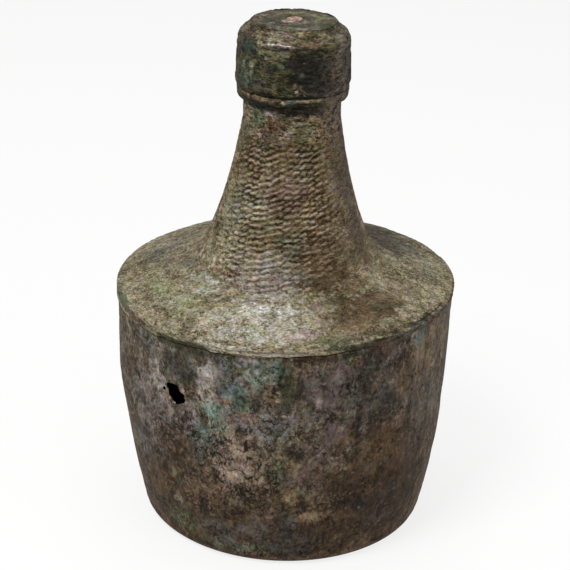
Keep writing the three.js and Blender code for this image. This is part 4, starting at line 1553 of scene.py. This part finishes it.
class FLASK_OT_solder(bpy.types.Operator):
    """Gives the run of solder inside the seam its finish"""

    bl_idname = "flask.solder"
    bl_label = "Solder"

    def execute(self, context):
        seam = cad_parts["seam_solder"]
        seam.data.materials.clear()
        seam.data.materials.append(plain_finish("dull_solder", "solder", "ash", 3, 0.5))
        return {"FINISHED"}


class FLASK_OT_tools(bpy.types.Operator):
    """Makes the Geometry Nodes trees that wear and chase the metal"""

    bl_idname = "flask.tools"
    bl_label = "Wear and chasing"

    def execute(self, context):
        weathered_skin_tree()
        chased_rows_tree()
        return {"FINISHED"}


class FLASK_OT_stage(bpy.types.Operator):
    """Sets the floor, the light and the camera"""

    bl_idname = "flask.stage"
    bl_label = "Stage"

    def execute(self, context):
        self.add_floor(context)
        self.add_light(context)
        self.add_camera(context)
        context.scene.view_settings.view_transform = "Standard"
        return {"FINISHED"}

    def seen(self, graph):
        """1 for rays from the camera, a reflection or a clear thing, and 0 for light"""
        names = ("Is Camera Ray", "Is Glossy Ray", "Is Transmission Ray")
        camera, glossy, clear = [graph.node("ShaderNodeLightPath", output=n) for n in names]
        return camera.larger(glossy).larger(clear)

    def add_floor(self, context):
        half = FLOOR_SIZE / 2
        corners = [(-half, -half, 0), (half, -half, 0), (half, half, 0), (-half, half, 0)]
        floor = new_object("floor", corners, [(0, 1, 2, 3)])
        material = bpy.data.materials.new("pale_floor")
        material.use_nodes = True
        graph = Graph(material.node_tree)
        graph.tree.nodes.clear()
        colour = linear(context.scene.flask_colours.floor)
        matt = graph.node("ShaderNodeBsdfDiffuse", inputs={"Color": colour})
        glow = graph.node("ShaderNodeEmission", inputs={"Color": (1, 1, 1, 1), "Strength": 1.0})
        inputs = {0: self.seen(graph) * FLOOR_GLOW, 1: matt, 2: glow}
        both = graph.node("ShaderNodeMixShader", inputs=inputs)
        graph.node("ShaderNodeOutputMaterial", inputs={"Surface": both})
        floor.data.materials.append(material)

    def add_light(self, context):
        world = bpy.data.worlds.new("soft_world")
        context.scene.world = world
        world.use_nodes = True
        graph = Graph(world.node_tree)
        graph.tree.nodes.clear()
        strength = self.seen(graph) * (1 - WORLD_LIGHT) + WORLD_LIGHT
        inputs = {"Color": (1, 1, 1, 1), "Strength": strength}
        sky = graph.node("ShaderNodeBackground", inputs=inputs)
        graph.node("ShaderNodeOutputWorld", inputs={"Surface": sky})
        for name, (place, size, power) in LAMPS.items():
            lamp = bpy.data.lights.new(name, "AREA")
            lamp.size = size
            lamp.energy = power
            holder = bpy.data.objects.new(name, lamp)
            holder.location = place
            away = Vector(place) - Vector(LAMP_AIM)
            holder.rotation_euler = away.to_track_quat("Z", "Y").to_euler()
            context.scene.collection.objects.link(holder)

    def add_camera(self, context):
        data = bpy.data.cameras.new("camera")
        data.lens = CAMERA_LENS
        data.shift_x = CAMERA_SHIFT
        camera = bpy.data.objects.new("camera", data)
        context.scene.collection.objects.link(camera)
        tilt, roll = math.radians(CAMERA_ELEVATION), math.radians(CAMERA_ROLL)
        back = Vector((0, -math.cos(tilt), math.sin(tilt)))
        right, up = Vector((1, 0, 0)), Vector((0, math.sin(tilt), math.cos(tilt)))
        rolled_right = right * math.cos(roll) + up * math.sin(roll)
        rolled_up = up * math.cos(roll) - right * math.sin(roll)
        turn = Matrix((rolled_right, rolled_up, back)).transposed().to_4x4()
        place = Vector((0, 0, CAMERA_TARGET)) + back * CAMERA_DISTANCE
        camera.matrix_world = Matrix.Translation(place) @ turn
        context.scene.camera = camera


PIECES = (FLASK_OT_bowl, FLASK_OT_neck, FLASK_OT_ring, FLASK_OT_cap, FLASK_OT_disc, FLASK_OT_solder)


class FLASK_PT_panel(bpy.types.Panel):
    """The flask's pieces, sizes and colours"""

    bl_idname = "FLASK_PT_panel"
    bl_label = "Flask"
    bl_space_type = "VIEW_3D"
    bl_region_type = "UI"
    bl_category = "Flask"

    def draw(self, context):
        for operator in (FLASK_OT_tools, *PIECES, FLASK_OT_stage):
            self.layout.operator(operator.bl_idname)
        for group in (context.scene.flask_sizes, context.scene.flask_age, context.scene.flask_colours):
            box = self.layout.box()
            for name in group.__annotations__:
                box.prop(group, name)


GROUPS = (FlaskSizes, FlaskAge, FlaskColours)
CLASSES = (*GROUPS, FLASK_OT_tools, *PIECES, FLASK_OT_stage, FLASK_PT_panel)


def register():
    for item in CLASSES:
        bpy.utils.register_class(item)
    bpy.types.Scene.flask_sizes = PointerProperty(type=FlaskSizes)
    bpy.types.Scene.flask_age = PointerProperty(type=FlaskAge)
    bpy.types.Scene.flask_colours = PointerProperty(type=FlaskColours)


def unregister():
    del bpy.types.Scene.flask_sizes
    del bpy.types.Scene.flask_age
    del bpy.types.Scene.flask_colours
    for item in reversed(CLASSES):
        bpy.utils.unregister_class(item)


def main():
    register()
    bpy.ops.flask.tools()
    bpy.ops.flask.bowl()
    bpy.ops.flask.neck()
    bpy.ops.flask.ring()
    bpy.ops.flask.cap()
    bpy.ops.flask.disc()
    bpy.ops.flask.solder()
    bpy.ops.flask.stage()


if __name__ == "__main__":
    main()
